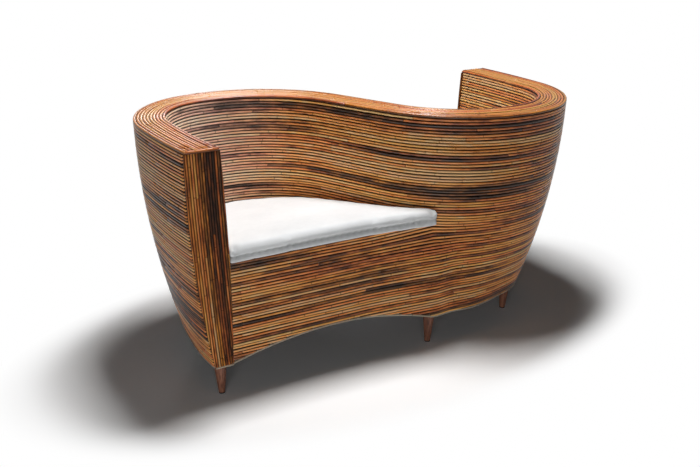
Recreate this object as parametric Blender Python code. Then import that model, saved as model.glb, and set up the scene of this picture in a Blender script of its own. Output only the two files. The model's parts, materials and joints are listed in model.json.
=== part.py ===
"""An S-shaped rattan sofa for two: one curved, reed-clad wall with a seat in each of its two bays.

Metres, +Z up. The origin lies on the floor, on the upright axis about which one half of the sofa
repeats the other at a half turn. +X runs along the front apron, and the front is towards -Y.
"""
import math

import bmesh
import bpy
from mathutils import Matrix, Vector

# Overall sizes
HEIGHT = 0.760
FOOT = 0.100
END_Y = 0.247

# Plan of the wall's centreline at the rim, from the middle outwards
MIDDLE_STRAIGHT = 0.104
MIDDLE_HEADING = math.radians(-56.4)
BACK_RADIUS = 0.3975
BACK_HEADING = math.radians(10.7)
BEND_RADIUS = 0.2085
BEND_HEADING = math.radians(97.4)
ARM_RADIUS = 1.80

# Section of the wall
WALL_TOP = 0.090
WALL_FOOT = 0.050
WALL_BELLY = 0.014
LOBE_LEAN = 0.076
END_LEAN = 0.022
LEAN_STRAIGHT_SHARE = 0.2
LEAN_FULL_AT = 0.65
LEAN_EASES_AT = 0.60
REED = 0.009
COURSE = 0.0093
COURSES_PER_ROLL = 3
GROOVE = 0.003
RIM = 0.012
RIM_ROUND = 0.005
RIM_ROLLS = 5

# Seats
SEAT_FRONT = 0.426
SEAT_SLOPE = 0.12
DECK = 0.012
LEDGER_WIDTH = 0.025
LEDGER_DEPTH = 0.040
BEARER_WIDTH = 0.030
BEARER_PLACES = (-0.36, -0.14)

# Apron, from the end post to where it runs into the other lobe
APRON_SETBACK = 0.004
APRON_BEND_RUN = 0.312
APRON_BEND_POWER = 1.25
APRON_BOARD = 0.018
ARCH_RISE = 0.052
CORNER_HEADING = math.radians(-35)
CORNER_DEPTH = 0.100
JUNCTION_HEADING = math.radians(-22.5)
JUNCTION_FLARE = 0.030
FLARE_RUN = 0.200

# Frame
TOP_RAIL = 0.034
FOOT_RAIL = 0.040
FOOT_RAIL_WIDTH = 0.030
EDGING = 0.006

# Legs
MID_LEG_BEFORE_JUNCTION = 0.0843
LOBE_LEG_HEADING = math.radians(34)
LOBE_LEG_INSET = 0.009
END_LEG_INSET = 0.018
LEG_TOP_RADIUS = 0.019
LEG_TIP_RADIUS = 0.010
GLIDE = 0.004
BOLT_RADIUS = 0.004
BOLT_IN_LEG = 0.030
BOLT_IN_FRAME = 0.030

# Cushions
CUSHION_EDGE = 0.046
CUSHION_CROWN = 0.012
CUSHION_ROUND = 0.011
CUSHION_OVERHANG = 0.010
CUSHION_DRAW_IN = 0.005
CUSHION_GAP = 0.005

# Clearances
GAP = 0.0003
FACET_GAP = 0.0006
BOLT_GAP = 0.0004
BOARD_GAP = 0.0015

# Segments of the plan's four stretches, the second split where the apron meets it
STRAIGHT_STEPS = 2
SEAT_BACK_STEPS = 5
LOBE_FRONT_STEPS = 6
BEND_STEPS = 9
ARM_STEPS = 5
APRON_STEPS = 8
JUNCTION_STEPS = 4
HEIGHT_STEPS = 7
RIB_STEPS = 4
CUSHION_EDGE_STEPS = 6
CUSHION_CROWN_SHARES = (0.12, 0.3, 0.55, 0.8)
ROUND_SIDES = 16
SHARP_ANGLE = math.radians(35)

WALL_END = END_Y - REED - GAP
SKIN_TOP = HEIGHT - RIM - GAP
TOP_RAIL_FOOT = SKIN_TOP - TOP_RAIL
FOOT_RAIL_TOP = FOOT + FOOT_RAIL
CORE = REED + GAP
APRON_Y = END_Y - APRON_SETBACK
HALF_ROLL = COURSES_PER_ROLL * COURSE / 2

MIDDLE_DIRECTION = Vector((math.cos(MIDDLE_HEADING), math.sin(MIDDLE_HEADING)))


def clamp(value):
    return min(max(value, 0.0), 1.0)


def smooth(value):
    """A step from 0 to 1 with no corner at either end."""
    t = clamp(value)
    return t * t * (3 - 2 * t)


def on_arc(centre, radius, heading):
    """The point of an arc to the left where the way along it has this heading."""
    return centre + radius * Vector((math.sin(heading), -math.cos(heading)))


def arc_centre(start, radius, heading):
    return start - radius * Vector((math.sin(heading), -math.cos(heading)))


# Each arc of the centreline starts where the one before it ends
BACK_START = MIDDLE_STRAIGHT * MIDDLE_DIRECTION
BACK_CENTRE = arc_centre(BACK_START, BACK_RADIUS, MIDDLE_HEADING)
BEND_CENTRE = arc_centre(on_arc(BACK_CENTRE, BACK_RADIUS, BACK_HEADING), BEND_RADIUS, BACK_HEADING)
ARM_CENTRE = arc_centre(on_arc(BEND_CENTRE, BEND_RADIUS, BEND_HEADING), ARM_RADIUS, BEND_HEADING)
ARM_HEADING = math.acos((ARM_CENTRE.y - END_Y) / ARM_RADIUS)

BACK_LENGTH = BACK_RADIUS * (BACK_HEADING - MIDDLE_HEADING)
BEND_LENGTH = BEND_RADIUS * (BEND_HEADING - BACK_HEADING)
ARM_LENGTH = ARM_RADIUS * (ARM_HEADING - BEND_HEADING)
BEND_AT = MIDDLE_STRAIGHT + BACK_LENGTH
ARM_AT = BEND_AT + BEND_LENGTH
WALL_HALF = ARM_AT + ARM_LENGTH
CORNER_AT = MIDDLE_STRAIGHT + BACK_RADIUS * (CORNER_HEADING - MIDDLE_HEADING)
JUNCTION_AT = MIDDLE_STRAIGHT + BACK_RADIUS * (JUNCTION_HEADING - MIDDLE_HEADING)
LOBE_LEG_AT = BEND_AT + BEND_RADIUS * (LOBE_LEG_HEADING - BACK_HEADING)


def centreline(s):
    """Place and heading at the distance s along the wall from its middle, negative on the left."""
    along = abs(s)
    if along <= MIDDLE_STRAIGHT:
        heading = MIDDLE_HEADING
        place = along * MIDDLE_DIRECTION
    elif along <= BEND_AT:
        heading = MIDDLE_HEADING + (along - MIDDLE_STRAIGHT) / BACK_RADIUS
        place = on_arc(BACK_CENTRE, BACK_RADIUS, heading)
    elif along <= ARM_AT:
        heading = BACK_HEADING + (along - BEND_AT) / BEND_RADIUS
        place = on_arc(BEND_CENTRE, BEND_RADIUS, heading)
    else:
        heading = BEND_HEADING + (along - ARM_AT) / ARM_RADIUS
        place = on_arc(ARM_CENTRE, ARM_RADIUS, heading)
    return math.copysign(1, s) * place, heading


def spread(start, stop, steps):
    """The points after start that divide a stretch into equal steps."""
    return [start + (stop - start) * (i + 1) / steps for i in range(steps)]


RIGHT_STATIONS = (
    spread(0.0, MIDDLE_STRAIGHT, STRAIGHT_STEPS)
    + spread(MIDDLE_STRAIGHT, JUNCTION_AT, SEAT_BACK_STEPS)
    + spread(JUNCTION_AT, BEND_AT, LOBE_FRONT_STEPS)
    + spread(BEND_AT, ARM_AT, BEND_STEPS)
    + spread(ARM_AT, WALL_HALF, ARM_STEPS)
)
STATIONS = [-s for s in reversed(RIGHT_STATIONS)] + [0.0] + RIGHT_STATIONS
MIDDLE = len(RIGHT_STATIONS)
JUNCTION = MIDDLE + STRAIGHT_STEPS + SEAT_BACK_STEPS
LAST = len(STATIONS) - 1


def wall_lean(s, z):
    """How far the wall has drawn in under its rim, towards the inside of its own lobe."""
    share = abs(s) / WALL_HALF
    to_end = smooth((share - LEAN_EASES_AT) / (1 - LEAN_EASES_AT))
    full = smooth(share / LEAN_FULL_AT) * (LOBE_LEAN * (1 - to_end) + END_LEAN * to_end)
    depth = (HEIGHT - z) / (HEIGHT - FOOT)
    return math.copysign(full, s) * (LEAN_STRAIGHT_SHARE * depth + (1 - LEAN_STRAIGHT_SHARE) * depth**2)


def face(side, s, z):
    """Offset of the front (+1) or rear (-1) surface of the wall from the centreline at the rim."""
    depth = (HEIGHT - z) / (HEIGHT - FOOT)
    thick = WALL_TOP - (WALL_TOP - WALL_FOOT) * depth**2 + 4 * WALL_BELLY * depth * (1 - depth)
    offset = side * thick / 2 - wall_lean(s, z)
    if side * s >= JUNCTION_AT:
        below_seat = clamp((SEAT_FRONT - z) / (SEAT_FRONT - FOOT))
        near_apron = 1 - smooth((abs(s) - JUNCTION_AT) / FLARE_RUN)
        offset += side * JUNCTION_FLARE * near_apron * below_seat**2
    return offset


def wall_point(s, offset, z, end=WALL_END):
    """A point of the wall. At the wall's two ends it slides along to the plane y = end."""
    place, heading = centreline(s)
    way = Vector((math.cos(heading), math.sin(heading)))
    point = place + offset * Vector((way.y, -way.x))
    if abs(s) > WALL_HALF - GAP:
        point += way * ((math.copysign(end, s) - point.y) / way.y)
    return Vector((point.x, point.y, z))


def layer(s, outer, inner, levels):
    """Closed section of a layer that lies between two depths behind the front surface of the wall."""
    return rolled_layer(s, inner, [(z, outer) for z in levels], levels)


def rolls(low, high):
    """Heights up a layer of reeds, with the depth of each: crests, and grooves between them.

    A roll stands for a few courses of reeds, and the seat's front edge lies in a groove.
    """
    first = math.ceil((low - SEAT_FRONT) / HALF_ROLL + 0.5)
    last = math.floor((high - SEAT_FRONT) / HALF_ROLL - 0.5)
    steps = range(first, last + 1)
    return [(SEAT_FRONT + k * HALF_ROLL, 0 if k % 2 else GROOVE) for k in steps]


def rolled_layer(s, inner, marks, levels):
    """Closed section of a layer of reeds on the front surface of the wall, rolled on its outside."""
    up = [wall_point(s, face(1, s, z) - depth, z) for z, depth in marks]
    down = [wall_point(s, face(1, s, z) - inner, z) for z in reversed(levels)]
    return up + down


def core(s, levels):
    """Closed section of a frame piece that fills the space between the two reed layers."""
    up = [wall_point(s, face(1, s, z) - CORE, z) for z in levels]
    down = [wall_point(s, face(-1, s, z) + CORE, z) for z in reversed(levels)]
    return up + down


# Heights at which every wall piece has points, so that neighbouring layers share their facets
BETWEEN_RAILS = spread(FOOT_RAIL_TOP, TOP_RAIL_FOOT, HEIGHT_STEPS)[:-1]
RIB_LEVELS = [FOOT_RAIL_TOP + GAP, *BETWEEN_RAILS, TOP_RAIL_FOOT - GAP]
OUTER_LEVELS = [FOOT + EDGING + GAP, *RIB_LEVELS, SKIN_TOP]
SEAT_LEVELS = [z for z in RIB_LEVELS if z > SEAT_FRONT + REED] + [SKIN_TOP]


def seat_height(y):
    """Top of the front seat's deck, which falls towards the back."""
    return SEAT_FRONT - SEAT_SLOPE * (y + APRON_Y)


def seat_line(s):
    """Point of the wall's front face level with the front edge of the seat."""
    return wall_point(s, face(1, s, SEAT_FRONT), SEAT_FRONT)


# The apron meets the wall at the corner by the seat, and further along, at the junction, by the foot
CORNER_POINT = seat_line(CORNER_AT)
JUNCTION_POINT = seat_line(JUNCTION_AT)
MID_LEG_X = JUNCTION_POINT.x - MID_LEG_BEFORE_JUNCTION
APRON_BEND_X = JUNCTION_POINT.x - APRON_BEND_RUN


def bent_line(x, end):
    """A line along the apron that is straight at first and then bends to an end point."""
    run = clamp((x - APRON_BEND_X) / (end.x - APRON_BEND_X))
    return -APRON_Y + (end.y + APRON_Y) * run**APRON_BEND_POWER


def apron_y(x):
    """Front line of the apron in plan at its foot, which is that of the cushion too."""
    return bent_line(x, JUNCTION_POINT)


def apron_top_y(x):
    """Front line of the apron at the seat: back to the corner, and then along the wall."""
    if x < CORNER_POINT.x:
        return bent_line(x, CORNER_POINT)
    low, high = CORNER_AT, JUNCTION_AT
    while high - low > GAP:
        middle = (low + high) / 2
        low, high = (middle, high) if seat_line(middle).x < x else (low, middle)
    return seat_line(high).y


def apron_point(x, z, depth):
    """A point of the apron, which takes on the lobe's lean where it runs into it."""
    drawn_in = 1 - smooth((SEAT_FRONT - z) / CORNER_DEPTH)
    y = apron_y(x) + drawn_in * (apron_top_y(x) - apron_y(x))
    blend = smooth((x - MID_LEG_X) / (JUNCTION_POINT.x - MID_LEG_X))
    lean = wall_point(JUNCTION_AT, face(1, JUNCTION_AT, z), z) - JUNCTION_POINT
    inwards = Vector((-math.sin(JUNCTION_HEADING), math.cos(JUNCTION_HEADING), 0))
    inwards = Vector((0, 1, 0)).lerp(inwards, blend).normalized()
    return Vector((x, y, z)) + blend * Vector((lean.x, lean.y, 0)) + depth * inwards


POST_INSIDE_X = wall_point(-WALL_HALF, face(1, -WALL_HALF, FOOT), FOOT, APRON_Y).x


def arch(x):
    """Rise of the apron's lower edge between the end post and the middle leg."""
    share = clamp((x - POST_INSIDE_X) / (MID_LEG_X - POST_INSIDE_X))
    return ARCH_RISE * 4 * share * (1 - share)


RAIL_START_X = MID_LEG_X - FOOT_RAIL_WIDTH
APRON_XS = (
    spread(POST_INSIDE_X, RAIL_START_X, APRON_STEPS - 1)
    + [MID_LEG_X]
    + spread(MID_LEG_X, JUNCTION_POINT.x, JUNCTION_STEPS)
)


def new_mesh(name, vertices, faces, material):
    mesh = bpy.data.meshes.new(name)
    mesh.from_pydata(vertices, [], faces)
    work = bmesh.new()
    work.from_mesh(mesh)
    bmesh.ops.recalc_face_normals(work, faces=work.faces)
    work.to_mesh(mesh)
    work.free()
    mesh.shade_smooth()
    mesh.set_sharp_from_angle(angle=SHARP_ANGLE)
    mesh.materials.append(material)
    return mesh


def strip(points, first, second):
    """Triangles between two rows of points that go up side by side."""
    faces = []
    a = b = 0
    while a + b < len(first) + len(second) - 2:
        more_a, more_b = a < len(first) - 1, b < len(second) - 1
        if more_a and not (more_b and points[second[b + 1]].z < points[first[a + 1]].z):
            faces.append((first[a], first[a + 1], second[b]))
            a += 1
        else:
            faces.append((first[a], second[b + 1], second[b]))
            b += 1
    return faces


def swept(name, rings, material, flat_ends=False, going_up=None):
    """A closed body through sections that all have the same number of points.

    A section that goes up one side and down the other is closed at the ends by a ladder of quads,
    or by triangles if the side that goes up has more points, and one that is flat by a single face.
    The sides are triangles, split from low to high along the sweep on both of them, so that two
    neighbouring bodies are faceted alike.
    """
    count = len(rings[0])
    half = going_up or count // 2
    vertices = [point for ring in rings for point in ring]
    faces = []
    for r in range(len(rings) - 1):
        for i in range(count):
            j = (i + 1) % count
            here = (r * count + i, r * count + j)
            there = ((r + 1) * count + i, (r + 1) * count + j)
            if i < half:
                faces += [(here[0], here[1], there[1]), (here[0], there[1], there[0])]
            else:
                faces += [(here[0], here[1], there[0]), (here[1], there[1], there[0])]
    for first in (0, (len(rings) - 1) * count):
        if flat_ends:
            faces.append(tuple(range(first, first + count)))
            continue
        if going_up:
            ends = list(range(first, first + count))
            faces += strip(vertices, ends[:half], ends[:half - 1 : -1])
            continue
        for i in range(half - 1):
            corners = (i, i + 1, count - 2 - i, count - 1 - i)
            faces.append(tuple(first + corner for corner in corners))
    return new_mesh(name, vertices, faces, material)


def turned(name, profile, material):
    """A round body about Z, from (radius, height) points that start and end on the axis."""
    vertices = [Vector((0, 0, profile[0][1])), Vector((0, 0, profile[-1][1]))]
    rings = []
    for radius, height in profile[1:-1]:
        ring = []
        for i in range(ROUND_SIDES):
            angle = 2 * math.pi * i / ROUND_SIDES
            ring.append(len(vertices))
            vertices.append(Vector((radius * math.cos(angle), radius * math.sin(angle), height)))
        rings.append(ring)
    faces = []
    for i in range(ROUND_SIDES):
        j = (i + 1) % ROUND_SIDES
        faces.append((0, rings[0][i], rings[0][j]))
        faces.append((1, rings[-1][j], rings[-1][i]))
        for low, high in zip(rings, rings[1:]):
            faces.append((low[i], low[j], high[j], high[i]))
    return new_mesh(name, vertices, faces, material)


def place(name, mesh, at=(0, 0, 0), half_turn=False):
    turn = Matrix.Rotation(math.pi if half_turn else 0, 4, "Z")
    piece = bpy.data.objects.new(name, mesh)
    piece.matrix_world = turn @ Matrix.Translation(at)
    bpy.context.scene.collection.objects.link(piece)
    return piece


def pair(first, second, mesh, at=(0, 0, 0)):
    """A piece and its twin in the other half of the sofa."""
    return place(first, mesh, at), place(second, mesh, at, half_turn=True)


def finish(name, colour, roughness, metallic=0.0):
    material = bpy.data.materials.new(name)
    material.use_nodes = True
    shader = material.node_tree.nodes["Principled BSDF"]
    shader.inputs["Base Color"].default_value = (*colour, 1)
    shader.inputs["Roughness"].default_value = roughness
    shader.inputs["Metallic"].default_value = metallic
    material.diffuse_color = (*colour, 1)
    return material


def make_rim(material):
    """The rim of reeds that lie along the top of the wall, round at both edges.

    A roll stands for two reeds, and there is a groove between each two rolls.
    """
    half = WALL_TOP / 2
    edge = [(half, HEIGHT - RIM), (half, HEIGHT - RIM_ROUND), (half - RIM_ROUND, HEIGHT)]
    top = []
    for k in range(1, 2 * RIM_ROLLS - 2):
        top.append((half - WALL_TOP * (k + 1) / (2 * RIM_ROLLS), HEIGHT - (GROOVE if k % 2 else 0)))
    section = edge + top + [(-offset, z) for offset, z in reversed(edge)]
    rings = [[wall_point(s, offset, z, END_Y) for offset, z in section] for s in STATIONS]
    place("rim_reeds", swept("rim_reeds", rings, material, flat_ends=True))


def make_seat_reeds(material):
    """The reeds of a seat's back and arm, from the deck to the rim."""
    marks = [*rolls(SEAT_FRONT, SKIN_TOP), (SKIN_TOP, 0)]
    rings = []
    for s in STATIONS[: JUNCTION + 1]:
        low = seat_height(seat_line(s).y) + FACET_GAP
        rings.append(rolled_layer(s, REED - FACET_GAP, [(low, 0), *marks], [low, *SEAT_LEVELS]))
    mesh = swept("seat_reeds", rings, material, going_up=len(marks) + 1)
    pair("front_seat_reeds", "rear_seat_reeds", mesh)


def make_back_reeds(material):
    """The reeds of a lobe's outer face, from the edging to the rim."""
    low = OUTER_LEVELS[0]
    marks = [(low, 0), *rolls(low, SKIN_TOP), (SKIN_TOP, 0)]
    rings = [rolled_layer(s, REED, marks, OUTER_LEVELS) for s in STATIONS[JUNCTION:]]
    rings[0] = [point + junction_gap() for point in rings[0]]
    mesh = swept("back_reeds", rings, material, going_up=len(marks))
    pair("right_back_reeds", "left_back_reeds", mesh)


def junction_gap():
    """Clears the reeds past the junction from those that end there."""
    return GAP * Vector((math.cos(JUNCTION_HEADING), math.sin(JUNCTION_HEADING), 0))


def at_end_post(z, depth):
    """A point at the inner corner of the end post, level with this depth of the apron."""
    corner = wall_point(-WALL_HALF, face(1, -WALL_HALF, z), z, APRON_Y - depth)
    return corner + Vector((FACET_GAP, 0, 0))


APRON_FOOT = FOOT + EDGING + GAP
APRON_LEVELS = [APRON_FOOT, *[z for z in RIB_LEVELS if z < SEAT_FRONT - DECK], SEAT_FRONT]


def apron_levels(x):
    """Heights of the apron's points, moved up over the arch."""
    foot = APRON_FOOT + arch(x)
    stretch = (SEAT_FRONT - foot) / (SEAT_FRONT - APRON_FOOT)
    return [SEAT_FRONT - stretch * (SEAT_FRONT - z) for z in APRON_LEVELS]


def make_apron_reeds(material):
    """The reeds under the front edge of a seat, cut to the arch below and to the deck above."""
    over_arch = rolls(APRON_FOOT + ARCH_RISE, SEAT_FRONT)

    def section(point_at, levels):
        outer = [point_at(z, depth) for z, depth in [(levels[0], 0), *over_arch, (SEAT_FRONT, 0)]]
        inner = [point_at(z, REED) for z in levels]
        for point in (outer[-1], inner[-1]):
            point.z = seat_height(point.y)
        return outer + inner[::-1]

    rings = [section(at_end_post, APRON_LEVELS)]
    for x in APRON_XS:
        rings.append(section(lambda z, depth: apron_point(x, z, depth), apron_levels(x)))
    mesh = swept("apron_reeds", rings, material, going_up=len(over_arch) + 2)
    pair("front_apron_reeds", "rear_apron_reeds", mesh)


def make_end_reeds(material):
    """The upright reeds that clad the end of the wall."""
    levels = [FOOT, *RIB_LEVELS, SKIN_TOP]
    rings = []
    for z in levels:
        row = []
        for side, plane in ((-1, END_Y), (1, END_Y), (1, END_Y - REED), (-1, END_Y - REED)):
            row.append(wall_point(-WALL_HALF, face(side, -WALL_HALF, z), z, plane))
        rings.append(row)
    pair("front_end_reeds", "rear_end_reeds", swept("end_reeds", rings, material))


def make_edging(material):
    """The strip that covers the lower ends of the apron and of the lobe's reeds."""
    rings = []
    for x in [POST_INSIDE_X + FACET_GAP, *APRON_XS[:-1]]:
        low = FOOT + arch(x)
        high = low + EDGING
        corners = ((low, 0), (high, 0), (high, REED), (low, REED))
        rings.append([apron_point(x, z, depth) for z, depth in corners])
    for s in STATIONS[JUNCTION:]:
        rings.append(layer(s, 0, REED, [FOOT, FOOT + EDGING]))
    pair("front_edging", "rear_edging", swept("edging", rings, material))


def make_top_rail(material):
    """The bent rail under the rim that the reeds and the ribs are fixed to."""
    rings = [core(s, [TOP_RAIL_FOOT, SKIN_TOP]) for s in STATIONS]
    place("top_rail", swept("top_rail", rings, material))


def foot_rail_rings():
    outer = REED + FACET_GAP
    inner = outer + FOOT_RAIL_WIDTH
    corners = ((FOOT, outer), (FOOT_RAIL_TOP, outer), (FOOT_RAIL_TOP, inner), (FOOT, inner))
    rings = []
    for x in APRON_XS[APRON_STEPS - 2 : -1]:
        rings.append([apron_point(x, z + arch(x), depth) for z, depth in corners])
    for s in STATIONS[JUNCTION : LAST]:
        rings.append(layer(s, outer, inner, [FOOT, FOOT_RAIL_TOP]))
    return rings


def make_foot_rail(material):
    """The bent rail along the foot of a lobe, from the middle leg to the end post."""
    return pair("right_foot_rail", "left_foot_rail", swept("foot_rail", foot_rail_rings(), material))


def make_end_posts(material):
    """The solid post inside each end of the wall, which stands on its leg."""
    levels = [FOOT, *RIB_LEVELS]
    rings = [core(s, levels) for s in (STATIONS[0], STATIONS[1] - FACET_GAP)]
    return pair("front_end_post", "rear_end_post", swept("end_post", rings, material))


def make_ribs(material):
    """Uprights between the rails of a lobe, each one plan segment wide."""
    for number, k in enumerate(range(JUNCTION + RIB_STEPS // 2, LAST - ARM_STEPS, RIB_STEPS), 1):
        rings = [core(s, RIB_LEVELS) for s in STATIONS[k : k + 2]]
        pair(f"right_rib_{number}", f"left_rib_{number}", swept(f"rib_{number}", rings, material))


def middle_rib_levels(s):
    """A rib between the two seats goes down to the lower edge of the ledgers beside it."""
    low = min(seat_height(wall_point(s, 0, 0).y), seat_height(-wall_point(s, 0, 0).y)) - DECK - LEDGER_DEPTH
    return [low, *[z for z in RIB_LEVELS if z > SEAT_FRONT]]


def make_middle_ribs(material):
    """Uprights where the wall passes between the two seats, held by the ledgers on both sides."""
    for k in (MIDDLE + STRAIGHT_STEPS, MIDDLE - 1):
        rings = [core(s, middle_rib_levels(s)) for s in STATIONS[k : k + 2]]
        mesh = swept("middle_rib", rings, material)
        if k == MIDDLE - 1:
            place("middle_rib", mesh)
        else:
            pair("right_middle_rib", "left_middle_rib", mesh)


def ledger_line(s, offset):
    """Plan point of the seat side of the ribs beside the deck, moved by an offset towards the seat."""
    top = seat_height(wall_point(s, face(1, s, SEAT_FRONT), 0).y)
    foot = top - DECK - LEDGER_DEPTH
    rib_side = max(face(1, s, top), face(1, s, foot)) - CORE
    return wall_point(s, rib_side + offset, 0)


DECK_TIP = JUNCTION - 2
LEDGER_TIP = JUNCTION - 3


def make_ledger(material):
    """The bent strip on the ribs that carries the deck along the back of a seat."""
    rings = []
    for s in STATIONS[1 : LEDGER_TIP + 1]:
        near = ledger_line(s, FACET_GAP)
        far = ledger_line(s, FACET_GAP + LEDGER_WIDTH)
        ring = []
        for point, drop in ((near, LEDGER_DEPTH), (near, 0), (far, 0), (far, LEDGER_DEPTH)):
            height = seat_height(point.y) - DECK - GAP - drop
            ring.append(Vector((point.x, point.y, height)))
        rings.append(ring)
    pair("front_seat_ledger", "rear_seat_ledger", swept("seat_ledger", rings, material))


def deck_outline():
    """Plan of a deck: along the ribs of the wall, then back behind the apron's reeds."""
    along_wall = [ledger_line(s, FACET_GAP) for s in STATIONS[1 : DECK_TIP + 1]]
    fronts = [x for x in APRON_XS if x < along_wall[-1].x]
    along_apron = [apron_point(x, SEAT_FRONT, REED + FACET_GAP) for x in reversed(fronts)]
    corner = ledger_line(STATIONS[0], FACET_GAP)
    corner.y = -APRON_Y + REED + FACET_GAP
    return along_wall + along_apron + [corner]


def make_deck(material):
    outline = deck_outline()
    top = [Vector((p.x, p.y, seat_height(p.y))) for p in outline]
    low = [Vector((p.x, p.y, seat_height(p.y) - DECK)) for p in outline]
    pair("front_seat_deck", "rear_seat_deck", swept("seat_deck", [low, top], material, flat_ends=True))


BOARD_FRONT = REED + BOARD_GAP
BOARD_BACK = BOARD_FRONT + APRON_BOARD


def board_side(x, depth):
    """Points up one side of the apron board, on the same facets as the reeds before it."""
    points = [apron_point(x, z, depth) for z in apron_levels(x)]
    top = seat_height(apron_top_y(x) + BOARD_BACK) - DECK - GAP
    below, above = points[-2:]
    above.z = seat_height(above.y)
    points[-1] = below.lerp(above, (top - below.z) / (above.z - below.z))
    return points


def make_apron_board(material):
    """The board behind the apron's reeds, between the end post and the foot rail."""

    def at_post(point, depth):
        near, far = [wall_point(s, face(1, s, point.z) - CORE, point.z) for s in STATIONS[:2]]
        edge = near.lerp(far, (depth - APRON_Y - near.y) / (far.y - near.y))
        return edge + Vector((2 * FACET_GAP, 0, 0))

    near, far = [board_side(POST_INSIDE_X, depth) for depth in (BOARD_FRONT, BOARD_BACK)]
    first = [at_post(p, BOARD_FRONT) for p in near] + [at_post(p, BOARD_BACK) for p in far[::-1]]
    rings = [first]
    for x in [*APRON_XS[: APRON_STEPS - 2], RAIL_START_X - FACET_GAP]:
        rings.append(board_side(x, BOARD_FRONT) + board_side(x, BOARD_BACK)[::-1])
    pair("front_apron_board", "rear_apron_board", swept("apron_board", rings, material))


def ledger_y(x):
    """Where a line along Y meets the seat side of the ledger at the back of the front seat."""
    line = [ledger_line(s, FACET_GAP + LEDGER_WIDTH) for s in STATIONS[1 : LEDGER_TIP + 1]]
    crossings = []
    for a, b in zip(line, line[1:]):
        if min(a.x, b.x) <= x < max(a.x, b.x):
            crossings.append(a.y + (b.y - a.y) * (x - a.x) / (b.x - a.x))
    return max(crossings)


def make_bearers(material):
    """Joists from the apron board to the ledger, under the deck."""
    for number, x in enumerate(BEARER_PLACES, 1):
        rings = []
        for edge in (x - BEARER_WIDTH / 2, x + BEARER_WIDTH / 2):
            start = apron_y(edge) + BOARD_BACK + GAP
            stop = ledger_y(edge) - FACET_GAP
            ring = []
            for y, drop in ((start, LEDGER_DEPTH), (start, 0), (stop, 0), (stop, LEDGER_DEPTH)):
                ring.append(Vector((edge, y, seat_height(y) - DECK - GAP - drop)))
            rings.append(ring)
        mesh = swept(f"bearer_{number}", rings, material)
        pair(f"front_bearer_{number}", f"rear_bearer_{number}", mesh)


def leg_places():
    """Plan points of the three legs of one half, under the post, the apron and the lobe."""
    depth = REED + FACET_GAP + FOOT_RAIL_WIDTH / 2
    s = LOBE_LEG_AT
    under_lobe = wall_point(s, face(1, s, FOOT) - depth - LOBE_LEG_INSET, 0)
    under_apron = apron_point(MID_LEG_X, FOOT, depth)
    ends = []
    for s in STATIONS[:2]:
        ends.append(wall_point(s, (face(1, s, FOOT) + face(-1, s, FOOT)) / 2, 0))
    under_post = ends[0] + (ends[1] - ends[0]).normalized() * END_LEG_INSET
    return {"end": under_post, "middle": under_apron, "lobe": under_lobe}


def make_legs(wood, plastic, steel):
    """Tapered legs, each with a glide under it and a bolt up into the frame."""
    bore = BOLT_RADIUS + BOLT_GAP
    bore_floor = FOOT - GAP - BOLT_IN_LEG - BOLT_GAP
    leg_profile = [
        (0, GLIDE + GAP),
        (LEG_TIP_RADIUS, GLIDE + GAP),
        (LEG_TOP_RADIUS, FOOT - GAP),
        (bore, FOOT - GAP),
        (bore, bore_floor),
        (0, bore_floor),
    ]
    glide_profile = [(0, 0), (LEG_TIP_RADIUS, 0), (LEG_TIP_RADIUS, GLIDE), (0, GLIDE)]
    low = FOOT - GAP - BOLT_IN_LEG
    high = FOOT + BOLT_IN_FRAME
    bolt_profile = [(0, low), (BOLT_RADIUS, low), (BOLT_RADIUS, high), (0, high)]
    leg = turned("leg", leg_profile, wood)
    glide = turned("glide", glide_profile, plastic)
    bolt = turned("leg_bolt", bolt_profile, steel)
    names = {"end": ("front_end", "rear_end"), "middle": ("front_middle", "rear_middle")}
    names["lobe"] = ("right_lobe", "left_lobe")
    for key, spot in leg_places().items():
        at = (spot.x, spot.y, 0)
        first, second = names[key]
        pair(f"{first}_leg", f"{second}_leg", leg, at)
        pair(f"{first}_glide", f"{second}_glide", glide, at)
        pair(f"{first}_leg_bolt", f"{second}_leg_bolt", bolt, at)


def drill_for_bolts(posts, rails, material):
    """Bolt holes in the end posts and in the foot rails."""
    bore = BOLT_RADIUS + BOLT_GAP
    low = FOOT - BOLT_GAP
    high = FOOT + BOLT_IN_FRAME + BOLT_GAP
    hole = turned("bolt_hole", [(0, low), (bore, low), (bore, high), (0, high)], material)
    places = leg_places()
    for key, pieces in (("end", posts), ("middle", rails), ("lobe", rails)):
        spot = places[key]
        cutters = pair(f"hole_{key}_a", f"hole_{key}_b", hole, (spot.x, spot.y, 0))
        for piece, cutter in zip(pieces, cutters):
            cutter.hide_render = True
            cutter.display_type = "WIRE"
            cut = piece.modifiers.new("bolt_hole", "BOOLEAN")
            cut.operation = "DIFFERENCE"
            cut.object = cutter


def cushion_outline():
    """Plan of a cushion: clear of the wall over the whole height that it is lifted through."""
    heights = [SEAT_FRONT, *SEAT_LEVELS, HEIGHT]
    wall_side = []
    for s in STATIONS[1 : JUNCTION - 1]:
        reach = max(face(1, s, z) for z in heights) + CUSHION_GAP
        wall_side.append(wall_point(s, reach, 0))
    end = max(face(1, STATIONS[0], z) for z in heights) + CUSHION_GAP
    corner = wall_point(STATIONS[0], end, 0, APRON_Y)
    tip = wall_side[-1]
    front = []
    run = tip.x - corner.x
    for share in [1.0, *spread(1.0, 0.0, APRON_STEPS)]:
        x = corner.x + run * share
        draw_in = CUSHION_DRAW_IN * 4 * share * (1 - share)
        front.append(Vector((x, apron_y(x) - CUSHION_OVERHANG + draw_in, 0)))
    return wall_side + front


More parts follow.
